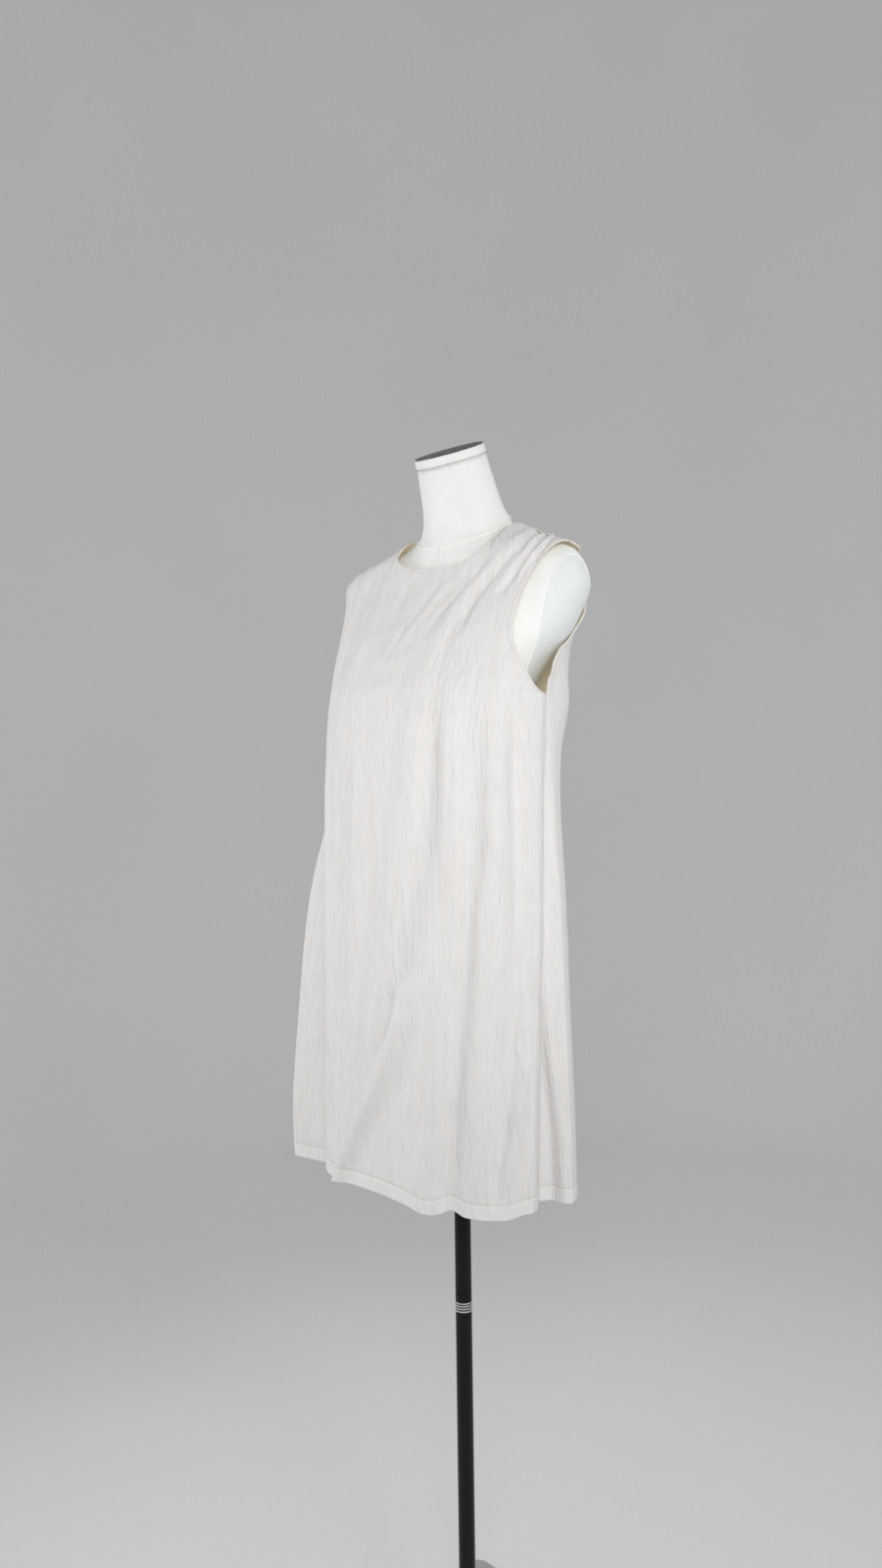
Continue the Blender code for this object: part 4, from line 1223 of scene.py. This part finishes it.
def tape_finish():
    """The narrow woven tape inside the neck and armholes. Its warm tan is painted light, like the dress's
    inner face: the light that comes through the thin cloth inside the dress.
    """
    colours = bpy.context.scene.dress_colours
    finish, tree, shader = new_finish("edge_tape")
    place = grain_place(tree)
    tint = mottled(tree, place, (300.0, 300.0, 1.0), colours.tape, 0.88)
    tree.links.new(tint["Colour"], shader["Base Color"])
    weave = add_group(tree, "herringbone", Place=place, Rib=0.0008, Band=0.0016)["Height"]
    tree.links.new(maths(tree, "MULTIPLY_ADD", weave, 0.1, 0.75), shader["Roughness"])
    raise_bump(tree, shader, [(weave, 0.00008)])
    return finish


def thread_finish(name, colour):
    """Sewing thread, with its twist."""
    finish, tree, shader = new_finish(name)
    tint = mottled(tree, object_place(tree), (900.0, 900.0, 900.0), colour, 0.8)
    tree.links.new(tint["Colour"], shader["Base Color"])
    tree.links.new(stretched(tree, tint["Mask"], 0.0, 1.0, 0.6, 0.8), shader["Roughness"])
    return finish


def cover_finish():
    """The form's smooth knitted cover, a little bluer on the flats of the arms.

    A flat is where the place, counted from the oval's middle in half sizes, is within 1.
    """
    colours = bpy.context.scene.dress_colours
    finish, tree, shader = new_finish("form_cover", Sheen_Weight=0.15, Sheen_Roughness=0.4)
    place = object_place(tree)
    shift = (0.0, -PLATE_MIDDLE[0], -PLATE_MIDDLE[1])
    size = (0.0, 1 / PLATE_HALF[0], 1 / PLATE_HALF[1])
    scaled = vector_maths(tree, "MULTIPLY", vector_maths(tree, "ADD", place, shift), size)
    away = add_node(tree, "VectorMath", {0: scaled}, operation="LENGTH").outputs["Value"]
    across = add_node(tree, "SeparateXYZ", {0: place}).outputs[0]
    oval = stretched(tree, away, 0.985, 1.0, 1.0, 0.0)
    plate = maths(tree, "MULTIPLY", oval, stretched(tree, maths(tree, "ABSOLUTE", across), 0.07, 0.08))
    tint = mottled(tree, place, (30.0, 30.0, 14.0), colours.cover, 0.95)
    tree.links.new(mixed(tree, plate, tint["Colour"], colours.plate), shader["Base Color"])
    knit = noise(tree, place, (1400.0, 1400.0, 900.0), 1.0)
    tree.links.new(stretched(tree, knit, 0.3, 0.7, 0.6, 0.72), shader["Roughness"])
    raise_bump(tree, shader, [(tint["Mask"], 0.0002), (knit, 0.00008)])
    return finish


def cap_finish():
    """The dark disc on top of the neck."""
    colours = bpy.context.scene.dress_colours
    finish, tree, shader = new_finish("neck_disc")
    place = object_place(tree)
    tint = mottled(tree, place, (160.0, 160.0, 160.0), colours.disc, 0.8)
    tree.links.new(tint["Colour"], shader["Base Color"])
    tree.links.new(stretched(tree, tint["Mask"], 0.0, 1.0, 0.4, 0.6), shader["Roughness"])
    raise_bump(tree, shader, [(noise(tree, place, (900.0, 900.0, 900.0), 2.0), 0.0001)])
    return finish


def metal_finish(name, colour, metallic, low, high, scale, bump, turn=0.0, shine=0.5):
    """Metal whose fine marks are a noise drawn out along one axis, from smooth to rough.

    low and high are its roughness without marks and in them, turn is that of the marks
    about Z, and shine is its specular level.
    """
    finish, tree, shader = new_finish(name, Metallic=metallic, Specular_IOR_Level=shine)
    place = object_place(tree)
    turned = add_node(tree, "Mapping", {"Vector": place, "Rotation": (0.0, 0.0, turn)}).outputs[0]
    marks = noise(tree, turned, scale, 3.0)
    smear = noise(tree, place, (18.0, 18.0, 18.0), 3.0)
    tint = mixed(tree, stretched(tree, smear, 0.35, 0.65), colour, shade_of(colour, 0.86))
    tree.links.new(tint, shader["Base Color"])
    marked = stretched(tree, marks, 0.3, 0.7, low, high)
    tree.links.new(maths(tree, "MULTIPLY_ADD", smear, 0.06, marked), shader["Roughness"])
    raise_bump(tree, shader, [(marks, bump)])
    return finish


def ring_finish():
    """Polished rings with dark grooves between them.

    A ring is where the cosine of the height, in turns of one ring each, is below nothing.
    """
    colours = bpy.context.scene.dress_colours
    finish, tree, shader = new_finish("ringed_metal", Metallic=1.0)
    place = object_place(tree)
    low, high = (corner[2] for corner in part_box("joint_rings"))
    rate = 2 * math.pi * RING_COUNT / (high - low)
    height = add_node(tree, "SeparateXYZ", {0: place}).outputs[2]
    turns = maths(tree, "MULTIPLY", maths(tree, "SUBTRACT", height, low), rate)
    ring = stretched(tree, maths(tree, "COSINE", turns), 0.1, -0.5)
    tree.links.new(mixed(tree, ring, colours.pole, colours.rings), shader["Base Color"])
    smear = noise(tree, place, (60.0, 60.0, 1600.0), 3.0)
    tree.links.new(stretched(tree, smear, 0.3, 0.7, 0.14, 0.26), shader["Roughness"])
    raise_bump(tree, shader, [(smear, 0.00002)])
    return finish


def backdrop_finish():
    """Plain pale floor and wall."""
    colours = bpy.context.scene.dress_colours
    finish, tree, shader = new_finish("backdrop", Roughness=0.9)
    tint = mottled(tree, object_place(tree), (1.5, 1.5, 1.5), colours.backdrop, 0.98)
    tree.links.new(tint["Colour"], shader["Base Color"])
    return finish


# ---------------------------------------------------------------- the stage
FLOOR = 2.7                 # radius of the level floor
BEND = 0.8                  # radius of the round from the floor to the wall
WALL = 7.0                  # height of the wall
SPREAD = math.radians(105)  # of each lamp's light, dimming towards its sides
AIM = (0.0, 0.0, 1.15)      # what the lamps face
LENS = 27.05                # focal length in millimetres, on a frame 36 mm high
CAMERA_SIDE = 33.0          # degrees from the front to the wearer's left
CAMERA_AWAY = 1.6           # from the pole
CAMERA_HEIGHT = 1.07
CAMERA_TURNS = (0.77, 3.24, -0.72)  # degrees: past the pole to its left, up, and rolled

# share is of the key's power. azimuth is in degrees from the front to the wearer's left, and
# distance is from the pole.
Lamp = namedtuple("Lamp", "name share size azimuth distance height")
LAMPS = (
    Lamp("key", 1.0, 0.5, 33, 1.70, 1.42),
    Lamp("key_left", 0.92, 0.6, 60, 1.90, 1.50),
    Lamp("side_left", 0.18, 0.9, 85, 2.00, 1.30),
    Lamp("side_right", 1.80, 0.9, -60, 2.00, 1.10),
    Lamp("rear_right", 0.48, 1.2, -130, 2.20, 1.80),
    Lamp("rear_left", 0.77, 1.2, 140, 2.20, 1.80),
)


def add_backdrop():
    """Floor and wall in one: a profile turned about the Z axis.

    The floor runs level, rises through a quarter of a round, and goes up as a wall.
    """
    bend = np.linspace(0, math.pi / 2, 13)
    radius = np.concatenate([[0.4, 1.2, 2.0], FLOOR + BEND * np.sin(bend), [FLOOR + BEND] * 2])
    height = np.concatenate([[0.0, 0.0, 0.0], BEND - BEND * np.cos(bend), [3.0, WALL]])
    around = 128
    turn = turns_round(around)
    x, y = radius[:, None] * np.cos(turn), radius[:, None] * np.sin(turn)
    rings = np.stack([x, y, height[:, None] + 0 * turn], axis=-1)
    faces = grid_quads(numbers(len(radius), around, columns_meet=True)).tolist()
    faces.append(list(range(around)))
    mesh = bpy.data.meshes.new("backdrop")
    mesh.from_pydata(rings.reshape(-1, 3).tolist(), [], faces)
    mesh.shade_smooth()
    mesh.materials.append(backdrop_finish())
    stage = bpy.data.objects.new("backdrop", mesh)
    bpy.context.scene.collection.objects.link(stage)
    stage.visible_diffuse = False
    stage.visible_shadow = False
    return stage


def add_light(lamp, key):
    """A round soft light that faces the middle of the dress, key being the key's power."""
    light = bpy.data.lights.new(lamp.name, "AREA")
    light.shape = "DISK"
    light.size = lamp.size
    light.energy = lamp.share * key
    light.spread = SPREAD
    made = bpy.data.objects.new(lamp.name, light)
    bpy.context.scene.collection.objects.link(made)
    turn = math.radians(lamp.azimuth)
    place = (lamp.distance * math.sin(turn), -lamp.distance * math.cos(turn), lamp.height)
    way = np.array(place) - np.array(AIM)
    flat = math.hypot(way[0], way[1])
    made.location = place
    made.rotation_euler = (math.atan2(flat, way[2]), 0.0, math.atan2(way[0], -way[1]))


def add_camera(scene):
    """The camera, in front on the wearer's left, tipped up a little."""
    camera = bpy.data.objects.new("camera", bpy.data.cameras.new("camera"))
    scene.collection.objects.link(camera)
    camera.data.lens = LENS
    camera.data.sensor_width = 36.0
    azimuth = math.radians(CAMERA_SIDE)
    yaw, pitch, roll = (math.radians(angle) for angle in CAMERA_TURNS)
    heading = azimuth + yaw
    level = np.array([-math.sin(heading), math.cos(heading), 0.0])
    side = np.array([level[1], -level[0], 0.0])
    up = np.array([0.0, 0.0, 1.0])
    forward = level * math.cos(pitch) + up * math.sin(pitch)
    above = up * math.cos(pitch) - level * math.sin(pitch)
    right = side * math.cos(roll) + above * math.sin(roll)
    top = above * math.cos(roll) - side * math.sin(roll)
    place = (CAMERA_AWAY * math.sin(azimuth), -CAMERA_AWAY * math.cos(azimuth), CAMERA_HEIGHT)
    rows = np.stack([right, top, -forward, place], axis=1).tolist()
    camera.matrix_world = Matrix([*rows, [0, 0, 0, 1]])
    scene.camera = camera


# ---------------------------------------------------------------- sizes and colours to change
def colour(name, description, *parts):
    """Property of one colour, parts being its red, green and blue."""
    return bpy.props.FloatVectorProperty(
        name=name, description=description, subtype="COLOR", size=4,
        default=(*parts, 1.0), min=0.0, max=1.0,
    )


def length(name, description, default):
    """Property of one length."""
    return bpy.props.FloatProperty(
        name=name, description=description, default=default, unit="LENGTH",
        precision=5, min=0.00001, max=1.0,
    )


class DressSizes(bpy.types.PropertyGroup):
    """Sizes of the cloth's detail."""

    cloth: length("Cloth", "Thickness of the dress cloth", CLOTH)
    hem: length("Hem", "Thickness of the cloth where the hem is turned up", 0.0021)
    crinkle: length("Crinkle", "Height of the fine pleats", 0.0006)
    stitch: length("Stitch", "Distance from one hem stitch to the next", 0.0030)


class DressColours(bpy.types.PropertyGroup):
    """Colours of the dress, the form, the stand and the backdrop."""

    cloth: colour("Cloth", "Outer face of the dress", 0.83, 0.822, 0.82)
    streak: colour("Streaks", "Warmer streaks along the cloth's grain", 0.82, 0.795, 0.775)
    doubled: colour("Doubled cloth", "Cloth where it is turned and doubled", 0.87, 0.86, 0.845)
    # The inside colour is painted light: a warm tan for the light that comes through the thin cloth and
    # bounces inside the dress, used as the inner face's colour and glow.
    inside: colour("Inside", "Inner face of the dress", 0.93, 0.84, 0.67)
    # The tape's warm tan is painted light, for the light that comes through the thin cloth inside the
    # dress.
    tape: colour("Tape", "Tape inside the neck and armholes", 0.82, 0.75, 0.64)
    # The thread colour is painted darker than the cloth, as painted shade for the small shadows along the
    # stitching.
    thread: colour("Thread", "Stitches of the dress", 0.55, 0.47, 0.38)
    cover: colour("Form cover", "Cover of the form", 0.92, 0.93, 0.905)
    plate: colour("Arm flat", "Cover where an arm would be", 0.80, 0.835, 0.835)
    dark_thread: colour("Dark thread", "Stitches round the neck's cap", 0.06, 0.055, 0.05)
    disc: colour("Neck disc", "Disc on top of the neck", 0.10, 0.10, 0.10)
    pole: colour("Pole", "Dark pole", 0.009, 0.008, 0.008)
    rings: colour("Rings", "Bright rings at the pole's joint", 0.96, 0.96, 0.95)
    base: colour("Base", "Brushed base plate", 0.62, 0.62, 0.61)
    backdrop: colour("Backdrop", "Floor and wall", 0.86, 0.87, 0.86)


class StudioLights(bpy.types.PropertyGroup):
    """Strength of the studio's lights."""

    key: bpy.props.FloatProperty(
        name="Key", description="Power of the soft light by the camera", default=2.92,
        min=0.0, unit="POWER",
    )
    fill: bpy.props.FloatProperty(
        name="Fill", description="Light from all round", default=0.45, min=0.0, max=10.0,
    )


# ---------------------------------------------------------------- steps
class DRESS_OT_tapes(bpy.types.Operator):
    """Sew the narrow tapes inside the neckline and both armholes"""

    bl_idname = "dress.tapes"
    bl_label = "Tapes"

    def execute(self, context):
        finish = tape_finish()
        neck = (slice(-TAPE_ROWS - 2, -2), slice(NECK_COLUMN, COLUMNS - NECK_COLUMN + 1))
        add_tape("neck_tape", [("front", *neck), ("back", *neck)], finish, "neck_binding")
        above = slice(int((row_places() < 0).sum()), None)
        for side, columns in (("left", slice(0, TAPE_COLUMNS)), ("right", slice(-TAPE_COLUMNS, None))):
            places = [("front", above, columns), ("back", above, columns)]
            add_tape(f"armhole_tape_{side}", places, finish, f"armhole_binding_{side}")
        return {"FINISHED"}


class DRESS_OT_stitches(bpy.types.Operator):
    """Stitch the hem, the neckline and the armholes"""

    bl_idname = "dress.stitches"
    bl_label = "Stitches"

    def execute(self, context):
        # Painted shade: the dress's stitches take a brown darker than the cloth, for the small shadows
        # along the stitching.
        finish = thread_finish("dress_thread_painted_shade", context.scene.dress_colours.thread)
        for panel in ("front", "back"):
            made = add_object(f"{panel}_stitches", *panel_stitches(panel), finish)
        return {"FINISHED"}


class DRESS_OT_panels(bpy.types.Operator):
    """Hang the creased front and back panels of the dress"""

    bl_idname = "dress.panels"
    bl_label = "Dress panels"

    def execute(self, context):
        finish = cloth_finish()
        for panel in ("front", "back"):
            made = add_panel(panel, finish)
            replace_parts(made, f"dress_{panel}")
        return {"FINISHED"}


class DRESS_OT_form(bpy.types.Operator):
    """Build the covered form with its seams and the cap on its neck"""

    bl_idname = "dress.form"
    bl_label = "Dress form"

    def execute(self, context):
        cover = cover_finish()
        body = add_form(cover)
        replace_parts(body, "form_body")
        add_form_seams(cover)
        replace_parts(add_cap("neck_band", BAND, cover), "neck_cap")
        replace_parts(add_cap("neck_disc", DISC, cap_finish()), "neck_cap")
        thread = thread_finish("dark_thread", context.scene.dress_colours.dark_thread)
        add_object("neck_stitches", *cap_stitches(), thread)
        return {"FINISHED"}


class DRESS_OT_stand(bpy.types.Operator):
    """Finish the metal of the pole, its ringed joint, the socket and the base"""

    bl_idname = "dress.stand"
    bl_label = "Stand"

    def execute(self, context):
        colours = context.scene.dress_colours
        along_pole = (700.0, 700.0, 6.0)
        along_plate = (8.0, 900.0, 900.0)
        pole = metal_finish("dark_pole", colours.pole, metallic=0.0, low=0.24, high=0.34,
                            scale=along_pole, bump=0.00002, shine=0.22)
        base = metal_finish("brushed_base", colours.base, metallic=1.0, low=0.30, high=0.46,
                            scale=along_plate, bump=0.00003, turn=-PLATE_TURN)
        finishes = dict.fromkeys(("pole_lower", "pole_upper", "form_socket", "joint_sleeve"), pole)
        finishes.update(joint_rings=ring_finish(), base_plate=base)
        for name, finish in finishes.items():
            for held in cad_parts[name].material_slots:
                held.material = finish
        return {"FINISHED"}


class DRESS_OT_stage(bpy.types.Operator):
    """Set up the floor, the round wall, the soft lights and the camera"""

    bl_idname = "dress.stage"
    bl_label = "Stage"

    def execute(self, context):
        scene = context.scene
        scene.view_settings.view_transform = "Standard"
        stage = add_backdrop()
        scene.world = bpy.data.worlds.new("studio")
        scene.world.use_nodes = True
        sky = scene.world.node_tree.nodes["Background"].inputs
        sky["Color"].default_value = (1.0, 1.0, 1.0, 1.0)
        sky["Strength"].default_value = scene.dress_lights.fill
        add_camera(scene)
        for lamp in LAMPS:
            add_light(lamp, scene.dress_lights.key)
        return {"FINISHED"}


class DRESS_PT_panel(bpy.types.Panel):
    """Lists the sizes, the colours and the steps"""

    bl_idname = "DRESS_PT_panel"
    bl_label = "Pleated dress"
    bl_space_type = "VIEW_3D"
    bl_region_type = "UI"
    bl_category = "Dress"

    def draw(self, context):
        for group in (context.scene.dress_sizes, context.scene.dress_colours, context.scene.dress_lights):
            for name in group.__annotations__:
                self.layout.prop(group, name)
        for step in STEPS:
            self.layout.operator(step.bl_idname)


# ---------------------------------------------------------------- running
STEPS = (DRESS_OT_form, DRESS_OT_tapes, DRESS_OT_stitches, DRESS_OT_panels, DRESS_OT_stand, DRESS_OT_stage)
CLASSES = (DressSizes, DressColours, StudioLights, *STEPS, DRESS_PT_panel)


def register():
    for made in CLASSES:
        bpy.utils.register_class(made)
    bpy.types.Scene.dress_sizes = bpy.props.PointerProperty(type=DressSizes)
    bpy.types.Scene.dress_colours = bpy.props.PointerProperty(type=DressColours)
    bpy.types.Scene.dress_lights = bpy.props.PointerProperty(type=StudioLights)


def unregister():
    del bpy.types.Scene.dress_lights
    del bpy.types.Scene.dress_colours
    del bpy.types.Scene.dress_sizes
    for made in reversed(CLASSES):
        bpy.utils.unregister_class(made)


def main():
    """Build every piece round the frame."""
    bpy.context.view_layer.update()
    register()
    bpy.ops.dress.form()
    bpy.ops.dress.tapes()
    bpy.ops.dress.stitches()
    bpy.ops.dress.panels()
    bpy.ops.dress.stand()
    bpy.ops.dress.stage()


if __name__ == "__main__":
    main()
